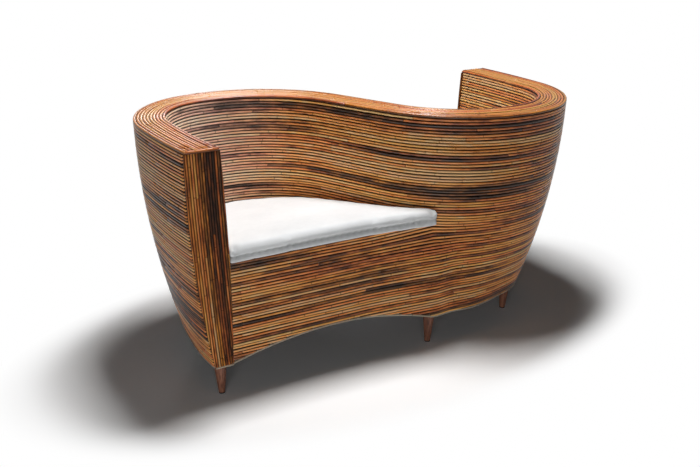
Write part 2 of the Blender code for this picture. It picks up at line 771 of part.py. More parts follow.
def make_cushions(material):
    """Loose seat cushions with a rounded edge and a crown, each with its origin at its middle."""
    outline = cushion_outline()
    middle = sum(outline, Vector()) / len(outline)
    middle.z = seat_height(middle.y) + FACET_GAP

    def ring(inset, share, height):
        points = []
        for p in outline:
            towards = Vector((middle.x - p.x, middle.y - p.y, 0))
            moved = p + towards.normalized() * inset
            moved = moved + share * Vector((middle.x - moved.x, middle.y - moved.y, 0))
            moved.z = seat_height(moved.y) + FACET_GAP + height
            points.append(moved - middle)
        return points

    rings = [ring(CUSHION_ROUND, max(CUSHION_CROWN_SHARES), 0)]
    for step in range(CUSHION_EDGE_STEPS + 1):
        angle = math.pi * step / CUSHION_EDGE_STEPS
        swell = CUSHION_ROUND * (1 - math.sin(angle))
        rings.append(ring(swell, 0, CUSHION_EDGE * (1 - math.cos(angle)) / 2))
    for share in CUSHION_CROWN_SHARES:
        rise = CUSHION_CROWN * math.sin(share * math.pi / 2)
        rings.append(ring(CUSHION_ROUND, share, CUSHION_EDGE + rise))
    pair("front_cushion", "rear_cushion", swept("cushion", rings, material, flat_ends=True), middle)


def main():
    for old in list(bpy.data.objects):
        bpy.data.objects.remove(old)
    reed = finish("rattan_reed", (0.44, 0.22, 0.085), 0.5)
    rim = finish("rattan_rim", (0.52, 0.27, 0.10), 0.42)
    cane = finish("cane_edging", (0.62, 0.42, 0.22), 0.5)
    frame = finish("frame_wood", (0.50, 0.36, 0.20), 0.65)
    ply = finish("plywood", (0.58, 0.43, 0.27), 0.7)
    dark = finish("leg_wood", (0.075, 0.035, 0.018), 0.4)
    nylon = finish("glide_nylon", (0.03, 0.03, 0.03), 0.5)
    steel = finish("zinc_steel", (0.55, 0.55, 0.56), 0.35, 1.0)
    canvas = finish("white_canvas", (0.80, 0.78, 0.74), 0.9)

    make_rim(rim)
    make_seat_reeds(reed)
    make_back_reeds(reed)
    make_apron_reeds(reed)
    make_end_reeds(reed)
    make_edging(cane)
    make_top_rail(frame)
    rails = make_foot_rail(frame)
    posts = make_end_posts(frame)
    make_ribs(frame)
    make_middle_ribs(frame)
    make_ledger(frame)
    make_deck(ply)
    make_apron_board(ply)
    make_bearers(frame)
    make_legs(dark, nylon, steel)
    drill_for_bolts(posts, rails, steel)
    make_cushions(canvas)


main()
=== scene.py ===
# %% [markdown]
# # An S-shaped rattan sofa
# The CAD model holds the sofa's solids: one wall bent to an S, two seats, six legs, two cushions.
# This lesson dresses it. The reed layers, which are plain skins in the CAD model, become single
# reeds, the cushions become sewn canvas, and every piece gets the finish of the real material.

import json
import math

import bmesh
import bpy
import numpy as np
from mathutils import Matrix, Vector

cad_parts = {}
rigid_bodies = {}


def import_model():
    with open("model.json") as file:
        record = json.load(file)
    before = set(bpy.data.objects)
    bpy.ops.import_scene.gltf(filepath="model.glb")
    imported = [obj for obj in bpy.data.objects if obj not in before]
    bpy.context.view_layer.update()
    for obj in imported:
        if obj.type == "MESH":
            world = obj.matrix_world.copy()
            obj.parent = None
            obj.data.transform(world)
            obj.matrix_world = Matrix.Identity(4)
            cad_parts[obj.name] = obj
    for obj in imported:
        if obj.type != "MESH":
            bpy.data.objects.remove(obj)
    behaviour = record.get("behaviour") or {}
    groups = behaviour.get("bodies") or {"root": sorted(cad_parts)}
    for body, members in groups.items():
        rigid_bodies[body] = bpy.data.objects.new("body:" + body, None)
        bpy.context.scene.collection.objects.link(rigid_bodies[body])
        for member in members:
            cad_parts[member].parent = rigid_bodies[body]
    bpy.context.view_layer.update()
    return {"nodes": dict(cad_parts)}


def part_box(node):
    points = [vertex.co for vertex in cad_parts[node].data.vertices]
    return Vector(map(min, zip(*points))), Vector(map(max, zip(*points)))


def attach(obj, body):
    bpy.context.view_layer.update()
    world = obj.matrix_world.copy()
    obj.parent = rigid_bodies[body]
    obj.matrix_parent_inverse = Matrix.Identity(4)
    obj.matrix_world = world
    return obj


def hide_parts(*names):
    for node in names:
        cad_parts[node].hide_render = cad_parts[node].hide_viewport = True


for old in list(bpy.data.objects):
    bpy.data.objects.remove(old)
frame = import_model()

# %% [markdown]
# ## The camera
# A photograph has one place it was taken from. The sofa's outline was fitted to find it: how far
# away, how high, and how long the lens was. With the camera set first, each piece can be held
# against the picture as soon as it is made.

# %% Camera
CAMERA_PLACE = (-1.0586, -2.0752, 1.381)
CAMERA_YAW = 0.4587
CAMERA_PITCH = 0.429
CAMERA_ROLL = 0.0123
CAMERA_LENS = 39.9

camera = bpy.data.objects.new("photo_camera", bpy.data.cameras.new("photo_camera"))
camera.data.lens = CAMERA_LENS
camera.data.sensor_width = 36
turn = Matrix.Rotation(-CAMERA_YAW, 4, "Z") @ Matrix.Rotation(math.pi / 2 - CAMERA_PITCH, 4, "X")
camera.matrix_world = Matrix.Translation(CAMERA_PLACE) @ turn @ Matrix.Rotation(CAMERA_ROLL, 4, "Z")
bpy.context.scene.collection.objects.link(camera)
bpy.context.scene.camera = camera
print("camera", CAMERA_PLACE, "lens", CAMERA_LENS)

# %% [markdown]
# ## The line of the wall
# The reeds follow the wall, so its plan is needed again: a straight middle, a back arc, a tight
# bend and a slack arm, and the same at a half turn. These are the CAD model's own sizes. The
# functions take whole arrays of places at once, because thousands of points are asked for.

# %% Sizes of the wall
HEIGHT = 0.760
FOOT = 0.100
END_Y = 0.247
MIDDLE_STRAIGHT = 0.104
MIDDLE_HEADING = math.radians(-56.4)
BACK_RADIUS = 0.3975
BACK_HEADING = math.radians(10.7)
BEND_RADIUS = 0.2085
BEND_HEADING = math.radians(97.4)
ARM_RADIUS = 1.80
WALL_TOP = 0.090
WALL_FOOT = 0.050
WALL_BELLY = 0.014
LOBE_LEAN = 0.076
END_LEAN = 0.022
LEAN_STRAIGHT_SHARE = 0.2
LEAN_FULL_AT = 0.65
LEAN_EASES_AT = 0.60
SEAT_FRONT = 0.426
SEAT_SLOPE = 0.12
APRON_Y = 0.243
APRON_BEND_RUN = 0.312
APRON_BEND_POWER = 1.25
ARCH_RISE = 0.052
MID_LEG_BEFORE_JUNCTION = 0.0843
CORNER_HEADING = math.radians(-35)
CORNER_DEPTH = 0.100
JUNCTION_HEADING = math.radians(-22.5)
JUNCTION_FLARE = 0.030
FLARE_RUN = 0.200
REED = 0.009
EDGING = 0.006


def radial(heading):
    return np.stack([np.sin(heading), -np.cos(heading)], axis=-1)


middle_way = np.array([math.cos(MIDDLE_HEADING), math.sin(MIDDLE_HEADING)])
BACK_CENTRE = MIDDLE_STRAIGHT * middle_way - BACK_RADIUS * radial(MIDDLE_HEADING)
BEND_CENTRE = BACK_CENTRE + (BACK_RADIUS - BEND_RADIUS) * radial(BACK_HEADING)
ARM_CENTRE = BEND_CENTRE + (BEND_RADIUS - ARM_RADIUS) * radial(BEND_HEADING)
ARM_HEADING = math.acos((ARM_CENTRE[1] - END_Y) / ARM_RADIUS)
BEND_AT = MIDDLE_STRAIGHT + BACK_RADIUS * (BACK_HEADING - MIDDLE_HEADING)
ARM_AT = BEND_AT + BEND_RADIUS * (BEND_HEADING - BACK_HEADING)
WALL_HALF = ARM_AT + ARM_RADIUS * (ARM_HEADING - BEND_HEADING)
CORNER_AT = MIDDLE_STRAIGHT + BACK_RADIUS * (CORNER_HEADING - MIDDLE_HEADING)
JUNCTION_AT = MIDDLE_STRAIGHT + BACK_RADIUS * (JUNCTION_HEADING - MIDDLE_HEADING)
print("the wall is", round(2 * WALL_HALF, 3), "m long")

# %% Faces of the wall


def smooth(value):
    t = np.clip(value, 0, 1)
    return t * t * (3 - 2 * t)


def wall_plan(s):
    """Place and heading of the rim's middle line at the distances s from the wall's centre."""
    along = np.abs(s)
    stretches = [along <= MIDDLE_STRAIGHT, along <= BEND_AT, along <= ARM_AT]
    headings = [
        np.full_like(along, MIDDLE_HEADING),
        MIDDLE_HEADING + (along - MIDDLE_STRAIGHT) / BACK_RADIUS,
        BACK_HEADING + (along - BEND_AT) / BEND_RADIUS,
    ]
    heading = np.select(stretches, headings, BEND_HEADING + (along - ARM_AT) / ARM_RADIUS)
    places = [
        along[:, None] * middle_way,
        BACK_CENTRE + BACK_RADIUS * radial(heading),
        BEND_CENTRE + BEND_RADIUS * radial(heading),
    ]
    arm = ARM_CENTRE + ARM_RADIUS * radial(heading)
    place = np.select([chosen[:, None] for chosen in stretches], places, arm)
    return np.where(s < 0, -1, 1)[:, None] * place, heading


def wall_face(side, s, z):
    """Offset of the front (+1) or rear (-1) face of the wall from that line, at one height."""
    share = np.abs(s) / WALL_HALF
    to_end = smooth((share - LEAN_EASES_AT) / (1 - LEAN_EASES_AT))
    full = smooth(share / LEAN_FULL_AT) * (LOBE_LEAN * (1 - to_end) + END_LEAN * to_end)
    depth = (HEIGHT - z) / (HEIGHT - FOOT)
    lean = np.sign(s) * full * (LEAN_STRAIGHT_SHARE * depth + (1 - LEAN_STRAIGHT_SHARE) * depth**2)
    thick = WALL_TOP - (WALL_TOP - WALL_FOOT) * depth**2 + 4 * WALL_BELLY * depth * (1 - depth)
    below_seat = np.clip((SEAT_FRONT - z) / (SEAT_FRONT - FOOT), 0, 1)
    near_apron = 1 - smooth((np.abs(s) - JUNCTION_AT) / FLARE_RUN)
    flare = np.where(side * s >= JUNCTION_AT, JUNCTION_FLARE * near_apron * below_seat**2, 0)
    return side * (thick / 2 + flare) - lean


def wall_points(s, offset, z, end=END_Y - REED):
    """Points of the wall. Its two ends slide along to the planes y = -end and y = end."""
    place, heading = wall_plan(s)
    point = place + np.broadcast_to(offset, s.shape)[:, None] * radial(heading)
    way = np.stack([np.cos(heading), np.sin(heading)], axis=-1)
    slide = (np.sign(s) * end - point[:, 1]) / way[:, 1]
    at_end = np.abs(s) > WALL_HALF - 1e-6
    point = np.where(at_end[:, None], point + way * slide[:, None], point)
    return np.column_stack([point, np.broadcast_to(z, s.shape)])


def seat_height(y):
    return SEAT_FRONT - SEAT_SLOPE * (y + APRON_Y)


rim_low, rim_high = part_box("rim_reeds")
rim_reach = max(wall_points(np.linspace(0, WALL_HALF, 400), WALL_TOP / 2, HEIGHT)[:, 0])
print("rim reaches", round(rim_reach, 4), "and in the CAD model", round(rim_high.x, 4))

# %% [markdown]
# ## One reed
# Rattan is a climbing palm. Its peeled core is drawn through a die to round reeds about 9 mm thick,
# some metres long, with a knuckle every hand or two. A reed could be a curve with a bevel, but then
# each would be one colour. A mesh tube can carry notes at its points: which reed it is, how far along
# it and how far round it the point lies, how dark the cane is, and where a knuckle sits. The finish
# reads those notes later. The tube's section is a D, because the back of a reed never shows.

# %% A reed as a tube
SECTION = np.radians(np.linspace(-105, 105, 8))
END_ROUND = 0.0015
KNUCKLE = 0.004


def unit(vectors):
    return vectors / np.linalg.norm(vectors, axis=1)[:, None]


def new_basket():
    return {"points": [], "quads": [], "tone": [], "knuckle": [], "painted_sheen": [], "strip": [], "count": 0}


def add_reed(basket, crest, outward, radius, along, tone, seed, knuckle, swell, painted_sheen):
    """Adds one reed whose crest follows a line. Along the line it swells and has its knuckles."""
    rings, sides = len(crest), len(SECTION)
    way = unit(np.gradient(crest, axis=0))
    outward = unit(outward - (outward * way).sum(axis=1)[:, None] * way)
    across = np.cross(outward, way)
    centre = crest - radius * outward
    reach = (radius * swell)[:, None, None]
    ring = np.cos(SECTION)[None, :, None] * outward[:, None] + np.sin(SECTION)[None, :, None] * across[:, None]
    points = centre[:, None] + reach * ring
    i, j = np.meshgrid(np.arange(rings - 1), np.arange(sides), indexing="ij")
    here, there, after = i * sides, (i + 1) * sides, (j + 1) % sides
    quads = np.stack([here + j, there + j, there + after, here + after], axis=-1).reshape(-1, 4)
    ladder = np.array([(k, k + 1, sides - 2 - k, sides - 1 - k) for k in range(sides // 2 - 1)])
    quads = np.concatenate([quads, ladder, (ladder + (rings - 1) * sides)[:, ::-1]])
    basket["quads"].append(quads + basket["count"])
    basket["count"] += rings * sides
    basket["points"].append(points.reshape(-1, 3))
    basket["tone"].append(np.repeat(tone, sides))
    basket["knuckle"].append(np.repeat(knuckle, sides))
    basket["painted_sheen"].append(np.repeat(painted_sheen, sides))
    round_it = np.tile(SECTION, rings)
    basket["strip"].append(np.column_stack([np.repeat(along, sides), round_it, np.full(rings * sides, seed)]))


def weave(name, basket, material):
    """Makes one object of all the reeds in a basket, with their notes as attributes."""
    mesh = bpy.data.meshes.new(name)
    mesh.from_pydata(np.concatenate(basket["points"]).tolist(), [], np.concatenate(basket["quads"]).tolist())
    for note in ("tone", "knuckle", "painted_sheen"):
        values = np.concatenate(basket[note]).astype(np.float32)
        mesh.attributes.new(note, "FLOAT", "POINT").data.foreach_set("value", values)
    strip = np.concatenate(basket["strip"]).astype(np.float32)
    mesh.attributes.new("strip", "FLOAT_VECTOR", "POINT").data.foreach_set("vector", strip.ravel())
    mesh.shade_smooth()
    mesh.materials.append(material)
    piece = bpy.data.objects.new(name, mesh)
    bpy.context.scene.collection.objects.link(piece)
    print(name, len(basket["points"]), "reeds", 2 * len(mesh.polygons), "triangles")
    return piece


# %% [markdown]
# ## A course of reeds
# A course is one row round the wall. No reed is as long as the wall, so a course is several reeds
# butted end to end, and the joints fall anywhere. The stain takes differently along a reed, and
# neighbouring courses come from the same bundle of cane. So pale and dark streaks lie one to three
# courses high and a hand to an arm long. A seeded generator of random numbers gives the joints,
# knuckles and tones, so each run of the script lays the same sofa.

# %% Courses cut into reeds
REED_LENGTHS = (0.40, 1.2)
KNUCKLE_SPACING = (0.16, 0.34)
BUTT_GAP = 0.0006
SHORTEST = 0.03
STREAK_STEP = 0.16
LIKENESS = 0.5
TONES = ((-2.6, -1.5, -0.8, 0.0, 0.9, 2.4), (0.00, 0.13, 0.38, 0.61, 0.86, 1.00))


def streaks(count, length, rng):
    """For each course, tones at even steps along it. Each course is partly like the one above."""
    columns = math.ceil(length / STREAK_STEP) + 3
    rows = np.zeros((count, columns))
    for number in range(count):
        fresh = rng.normal(0, 1.25, columns)
        fresh = np.convolve(np.pad(fresh, 1, mode="edge"), (0.35, 0.6, 0.35), mode="valid")
        last = rows[number - 1] if number else fresh
        rows[number] = LIKENESS * last + math.sqrt(1 - LIKENESS**2) * fresh
    return np.interp(rows, *TONES)


def lay_course(basket, line, outward, radius, tones, rng, fullness=1.0, painted_sheen=0.0):
    """Cuts a course into reeds with butt joints and knuckles, and adds them to the basket."""
    fullness, painted_sheen = np.broadcast_to(fullness, len(line)), np.broadcast_to(painted_sheen, len(line))
    steps = np.linalg.norm(np.diff(line, axis=0), axis=1)
    reach = np.concatenate([[0], np.cumsum(steps)])
    start = -rng.uniform(0, REED_LENGTHS[1])
    while start < reach[-1]:
        stop = max(start + rng.uniform(*REED_LENGTHS), SHORTEST)
        if reach[-1] - stop < SHORTEST:
            stop = reach[-1]
        first, last = max(start, 0) + BUTT_GAP / 2, min(stop, reach[-1]) - BUTT_GAP / 2
        start = stop
        if last - first < 4 * END_ROUND:
            continue
        knots = first + np.cumsum(rng.uniform(*KNUCKLE_SPACING, 12))
        knots = knots[knots < last - 0.02]
        marks = [(first, 0.75, 0), (first + END_ROUND, 1, 0), (last - END_ROUND, 1, 0), (last, 0.75, 0)]
        for at in knots:
            marks += [(at - KNUCKLE, 1, 0), (at, 1.05, 1), (at + KNUCKLE, 1, 0)]
        inner = reach[(reach > first + 2 * END_ROUND) & (reach < last - 2 * END_ROUND)]
        if len(knots):
            inner = inner[np.abs(inner[:, None] - knots[None]).min(axis=1) > 2 * KNUCKLE]
        marks += [(at, 1, 0) for at in inner]
        at, swell, knuckle = np.array(sorted(marks)).T
        crest = np.column_stack([np.interp(at, reach, line[:, k]) for k in range(3)])
        facing = np.column_stack([np.interp(at, reach, outward[:, k]) for k in range(3)])
        shade = np.interp(at, STREAK_STEP * np.arange(len(tones)), tones) + rng.normal(0, 0.16)
        swell = swell * np.interp(at, reach, fullness) * rng.uniform(0.95, 1.06)
        grey = np.interp(at, reach, painted_sheen)
        add_reed(basket, crest, facing, radius, at, np.clip(shade, 0, 1), rng.uniform(0, 50), knuckle, swell, grey)


def facing_out(line):
    """The level direction to the right of a line, which is out of the wall on its front face."""
    way = np.gradient(line, axis=0)
    return unit(np.column_stack([way[:, 1], -way[:, 0], np.zeros(len(line))]))


# %% [markdown]
# ## The finish of the reeds
# Peeled rattan is a fine-grained cane without rings. Here it was stained in many browns, from straw
# to chocolate, and sprayed with a satin lacquer. That gives the eye a different colour for each
# strip, faint streaks along it and dark rings at the knuckles. The crest is painted pale, a painted
# highlight with some worn stain, and the grooves are painted dark, painted shade with some dark
# lacquer. All of it comes from the notes on the mesh and from noise that is stretched along the reed.

# %% Colours and a node helper


def linear(hex_colour):
    """The linear colour of an sRGB hex value."""
    channels = [int(hex_colour[k : k + 2], 16) / 255 for k in (1, 3, 5)]
    return (*[c / 12.92 if c <= 0.04045 else ((c + 0.055) / 1.055) ** 2.4 for c in channels], 1)


def add(tree, kind, inputs=None, stops=None, **settings):
    """Adds a node with its settings. Each input is a value, or the socket that it is linked to."""
    node = tree.nodes.new(kind)
    for option, value in settings.items():
        setattr(node, option, value)
    for socket, value in (inputs or {}).items():
        if isinstance(value, bpy.types.NodeSocket):
            tree.links.new(value, node.inputs[socket])
        else:
            node.inputs[socket].default_value = value
    if stops:
        elements = node.color_ramp.elements
        while len(elements) < len(stops):
            elements.new(1)
        for element, (place, colour) in zip(elements, stops):
            element.position = place
            element.color = linear(colour) if isinstance(colour, str) else (colour, colour, colour, 1)
    return node


def new_finish(name):
    """A material with an empty tree, and its output."""
    material = bpy.data.materials.new(name)
    material.use_nodes = True
    material.node_tree.nodes.clear()
    return material, material.node_tree, material.node_tree.nodes.new("ShaderNodeOutputMaterial")


# %% Stained and lacquered rattan
FIBRE_WIDTH = 0.0012
FIBRE_LENGTH = 0.060
PATCH_LENGTH = 0.055
STAINED_CANE = [
    (0.00, "#2b1a11"),
    (0.16, "#4a2d1b"),
    (0.36, "#7d4825"),
    (0.54, "#ae6a32"),
    (0.72, "#c98749"),
    (0.88, "#da9a54"),
    (1.00, "#e0b078"),
]
RUBBED_CANE = [(0.0, "#4e2812"), (0.4, "#9c4e1a"), (0.7, "#c6732a"), (1.0, "#e0984a")]
BARE_CANE = [(0.0, "#87725c"), (0.5, "#b3a088"), (1.0, "#d6c8b2")]
# Angles round the reed where the painted crest highlight starts to fall off, and where the painted groove shade is full
HIGHLIGHT_EDGE = 0.20
GROOVE_SHADE_AT = 1.02
# How much the painted sheen greys the stain, and how much paler it makes it
SHEEN_SATURATION = 0.60
SHEEN_BRIGHTNESS = 1.18


def rattan(name, radius, colours, roughness, crest_wear_and_highlight, groove_shade_and_lacquer, coat, highlight_turn=0.0, gloss=0.40):
    material, tree, output = new_finish(name)
    tone = add(tree, "ShaderNodeAttribute", attribute_name="tone").outputs["Fac"]
    knuckle = add(tree, "ShaderNodeAttribute", attribute_name="knuckle").outputs["Fac"]
    strip = add(tree, "ShaderNodeAttribute", attribute_name="strip").outputs["Vector"]
    parts = add(tree, "ShaderNodeSeparateXYZ", {0: strip}).outputs
    # Patches of stain along a reed, which shift its tone
    patch_at = add(tree, "ShaderNodeVectorMath", {0: strip, 1: (1 / PATCH_LENGTH, 0.15, 7.3)}, operation="MULTIPLY")
    patch = add(tree, "ShaderNodeTexNoise", {"Vector": patch_at.outputs[0], "Scale": 1.0, "Detail": 4.0})
    shift = add(tree, "ShaderNodeMath", {0: patch.outputs["Fac"], 1: 1.10, 2: -0.55}, operation="MULTIPLY_ADD")
    shade = add(tree, "ShaderNodeMath", {0: tone, 1: shift.outputs[0]}, use_clamp=True)
    stain = add(tree, "ShaderNodeValToRGB", {0: shade.outputs[0]}, stops=colours)
    # Some reeds lean to olive, some to red
    lean_at = add(tree, "ShaderNodeMath", {0: parts[2], 1: 3.71}, operation="MULTIPLY")
    lean = add(tree, "ShaderNodeTexWhiteNoise", {"W": lean_at.outputs[0]}, noise_dimensions="1D")
    hue = add(tree, "ShaderNodeMath", {0: lean.outputs["Value"], 1: 0.022, 2: 0.489}, operation="MULTIPLY_ADD")
    # Painted sheen: where the note is set, the stain is greyed and made paler, standing in for a reflection
    sheen_amount = add(tree, "ShaderNodeAttribute", attribute_name="painted_sheen").outputs["Fac"]
    strong = add(tree, "ShaderNodeMapRange", {0: sheen_amount, 3: 1.0, 4: SHEEN_SATURATION})
    bright = add(tree, "ShaderNodeMapRange", {0: sheen_amount, 3: 1.0, 4: SHEEN_BRIGHTNESS})
    lean = {"Hue": hue.outputs[0], "Saturation": strong.outputs[0], "Value": bright.outputs[0]}
    leant = add(tree, "ShaderNodeHueSaturation", {**lean, "Color": stain.outputs["Color"]})
    # Streaks of fibre along the reed
    fibre = (1 / FIBRE_LENGTH, radius / FIBRE_WIDTH, 11.0)
    streak_at = add(tree, "ShaderNodeVectorMath", {0: strip, 1: fibre}, operation="MULTIPLY")
    streak = add(tree, "ShaderNodeTexNoise", {"Vector": streak_at.outputs[0], "Scale": 1.0, "Detail": 4.0})
    light = add(tree, "ShaderNodeMapRange", {0: streak.outputs["Fac"], 1: 0.25, 2: 0.75, 3: 0.74, 4: 1.16})
    # Dark rings at the knuckles, a painted highlight with worn stain on the crest, painted shade with dark lacquer in
    # the grooves
    ring = add(tree, "ShaderNodeMapRange", {0: knuckle, 1: 0.25, 2: 1.0, 3: 1.0, 4: 0.42})
    off_crest = add(tree, "ShaderNodeMath", {0: parts[1], 1: highlight_turn}, operation="SUBTRACT")
    off_crest = add(tree, "ShaderNodeMath", {0: off_crest.outputs[0]}, operation="ABSOLUTE")
    # Pale reeds get a weaker painted highlight, so that their colour stays in range
    crest_highlight = add(tree, "ShaderNodeMapRange", {0: shade.outputs[0], 1: 0.5, 2: 0.95, 3: crest_wear_and_highlight, 4: 0.62 * crest_wear_and_highlight})
    worn = {0: off_crest.outputs[0], 1: HIGHLIGHT_EDGE, 2: GROOVE_SHADE_AT, 3: crest_highlight.outputs[0], 4: groove_shade_and_lacquer}
    painted_relief = add(tree, "ShaderNodeMapRange", worn, interpolation_type="SMOOTHSTEP")
    dark = add(tree, "ShaderNodeMath", {0: ring.outputs[0], 1: painted_relief.outputs[0]}, operation="MULTIPLY")
    value = add(tree, "ShaderNodeMath", {0: dark.outputs[0], 1: light.outputs[0]}, operation="MULTIPLY")
    colour = add(
        tree,
        "ShaderNodeVectorMath",
        {0: leant.outputs["Color"], "Scale": value.outputs[0]},
        operation="SCALE",
    )
    rough = add(tree, "ShaderNodeMapRange", {0: patch.outputs["Fac"], 1: 0.3, 2: 0.7, 3: roughness - 0.12, 4: roughness + 0.12})
    bump = add(tree, "ShaderNodeBump", {"Strength": 0.35, "Distance": 0.0004, "Height": streak.outputs["Fac"]})
    shader = add(
        tree,
        "ShaderNodeBsdfPrincipled",
        {
            "Base Color": colour.outputs[0],
            "Roughness": rough.outputs[0],
            "Normal": bump.outputs[0],
            "Specular IOR Level": gloss,
            "Coat Weight": coat,
            "Coat Roughness": 0.18,
        },
    )
    tree.links.new(shader.outputs[0], output.inputs[0])
    return material


# Each finish paints a highlight on the crest and shade in the grooves; on the wall reeds the painted highlight sits a
# little above the middle of the crest
reed_finish = rattan("stained_lacquered_rattan", REED / 2, STAINED_CANE, 0.38, 2.0, 0.03, 0.12, highlight_turn=0.08)
rim_finish = rattan("polished_rattan_rim", REED / 2, RUBBED_CANE, 0.36, 1.28, 0.34, 0.15)
print("reed finishes made")

# %% [markdown]
# ## The reeds of the wall
# Above the seats, a course runs the whole front face of the S: from the end of the arm, round the
# back of the seat, on to the outside of the other lobe. Below the seat it runs along the apron and
# into the lobe. So each half of the sofa needs two kinds of course, and the other half is laid the
# same way at a half turn, with other reeds.

# %% Courses above the seat
SEAT_COURSES = 35
RIM_REED = 0.0045
WALL_REEDS_TOP = HEIGHT - 2 * RIM_REED
COURSE = (WALL_REEDS_TOP - SEAT_FRONT) / SEAT_COURSES
REED_RADIUS = 0.53 * COURSE
COURSES = math.ceil((WALL_REEDS_TOP - FOOT - EDGING / 2) / COURSE)
HAND = 0.0006

grid = [np.linspace(0, MIDDLE_STRAIGHT, 4), np.linspace(MIDDLE_STRAIGHT, JUNCTION_AT, 10)]
grid += [np.linspace(JUNCTION_AT, BEND_AT, 10), np.linspace(BEND_AT, ARM_AT, 23), np.linspace(ARM_AT, WALL_HALF, 9)]
right_grid = np.unique(np.round(np.concatenate(grid), 9))
s_grid = np.concatenate([-right_grid[:0:-1], right_grid])
lobe_grid = right_grid[right_grid >= JUNCTION_AT - 1e-6]


def wobble(line, rng):
    """Lets a course wander a little, as one laid by hand does."""
    reach = np.linspace(0, 1, len(line))
    drift = np.interp(reach, np.linspace(0, 1, 12), rng.normal(0, HAND, 12))
    return line + np.column_stack([np.zeros((len(line), 2)), drift])


def course_height(number):
    return WALL_REEDS_TOP - (number + 0.5) * COURSE


# Tone shifts by place that paint light and shade on the wall
SEAT_PAINTED_LIGHT = 0.11
LOBE_LIGHT_AND_SHADE = {"front": -0.08, "rear": 0.10}
# A painted sheen stands in for a reflection on the front seat's back: full from the arm to the bend, fading out past
# it, none on the rear half
SHEEN_BY_HALF = {"front": 1.0, "rear": 0.0}
SHEEN_FULL_TO = -BEND_AT
SHEEN_FADE = 0.34
ARM_PAINTED_LIGHT = 0.42


def lay_wall(basket, tones, rng, lobe_light_and_shade, sheen_amount):
    """Courses along the whole front face, cut off where they run down behind the seat."""
    # Painted light and shade: the tones are made paler on the seat side and most on the arm's inner face, and shifted
    # on the outside of the lobe, darker on the front half and paler on the rear
    s_of_tones = STREAK_STEP * np.arange(tones.shape[1]) - WALL_HALF
    places = (-ARM_AT, -BEND_AT, JUNCTION_AT - 0.15, JUNCTION_AT + 0.05)
    rubbed = np.interp(s_of_tones, places, (ARM_PAINTED_LIGHT, SEAT_PAINTED_LIGHT, SEAT_PAINTED_LIGHT, lobe_light_and_shade))
    for number in range(SEAT_COURSES + 6):
        z = course_height(number)
        line = wall_points(s_grid, wall_face(1, s_grid, z), z)
        at = s_grid
        if number >= SEAT_COURSES:
            kept = (at < JUNCTION_AT) & (seat_height(line[:, 1]) < z)
            line, at = line[kept], at[kept]
        if len(line) > 3:
            grey = np.interp(at, (SHEEN_FULL_TO, SHEEN_FULL_TO + SHEEN_FADE), (sheen_amount, 0))
            outward = facing_out(line)
            lay_course(basket, wobble(line, rng), outward, REED_RADIUS, tones[number] + rubbed, rng, painted_sheen=grey)


print(COURSES, "courses", round(1000 * COURSE, 2), "mm apart")

# %% Courses below the seat


def edge_x(side, z, plane):
    """Where a face of the front arm meets the plane y = -plane."""
    s = np.array([-WALL_HALF])
    return wall_points(s, wall_face(side, s, z), z, plane)[0, 0]


def seat_line(s):
    """Points of the wall's front face level with the front edge of the seat."""
    return wall_points(s, wall_face(1, s, SEAT_FRONT), SEAT_FRONT)


beyond_corner = seat_line(np.linspace(CORNER_AT, JUNCTION_AT, 30))
corner, junction = beyond_corner[0], beyond_corner[-1]
post_x = edge_x(1, FOOT, APRON_Y)
MID_LEG_X = junction[0] - MID_LEG_BEFORE_JUNCTION
APRON_BEND_X = junction[0] - APRON_BEND_RUN


def arch(x):
    share = np.clip((x - post_x) / (MID_LEG_X - post_x), 0, 1)
    return ARCH_RISE * 4 * share * (1 - share)


def bent_line(x, end):
    """A line along the apron that is straight at first and then bends to an end point."""
    run = np.clip((x - APRON_BEND_X) / (end[0] - APRON_BEND_X), 0, 1)
    return -APRON_Y + (end[1] + APRON_Y) * run**APRON_BEND_POWER


def apron_points(x, z):
    """Points of the apron: back to the corner at the seat, and out to the lobe further down."""
    z = np.broadcast_to(z, x.shape)
    foot_y = bent_line(x, junction)
    along_wall = np.interp(x, beyond_corner[:, 0], beyond_corner[:, 1])
    top_y = np.where(x < corner[0], bent_line(x, corner), along_wall)
    y = foot_y + (1 - smooth((SEAT_FRONT - z) / CORNER_DEPTH)) * (top_y - foot_y)
    blend = smooth((x - MID_LEG_X) / (junction[0] - MID_LEG_X))[:, None]
    s = np.array([JUNCTION_AT])
    lean = np.array([wall_points(s, wall_face(1, s, level), level)[0] - junction for level in z])
    return np.column_stack([x, y, z]) + blend * lean * (1, 1, 0)


def arch_cut(z):
    """Where a level line meets the lower edge of the arch, if it does."""
    left = 0.25 - (z - FOOT - EDGING / 2) / (4 * ARCH_RISE)
    if not 0 < left < 0.25:
        return []
    half = math.sqrt(left)
    return [post_x + share * (MID_LEG_X - post_x) for share in (0.5 - half, 0.5 + half)]


def skirt_line(z, cut):
    """The line of one course along the apron and round the lobe, with points where it is cut."""
    start = edge_x(1, z, APRON_Y)
    xs = np.concatenate([np.linspace(start, 0, 24), np.linspace(0, junction[0], 24)[1:], cut])
    xs = np.unique(np.round(xs[xs >= start - 1e-9], 7))
    lobe = wall_points(lobe_grid, wall_face(1, lobe_grid, z), z)[1:]
    line = np.concatenate([apron_points(xs, z), lobe])
    for _ in range(4):
        near = slice(len(xs) - 4, len(xs) + 4)
        eased = 0.25 * line[:-2] + 0.5 * line[1:-1] + 0.25 * line[2:]
        line[1:-1][near] = eased[near]
    return line


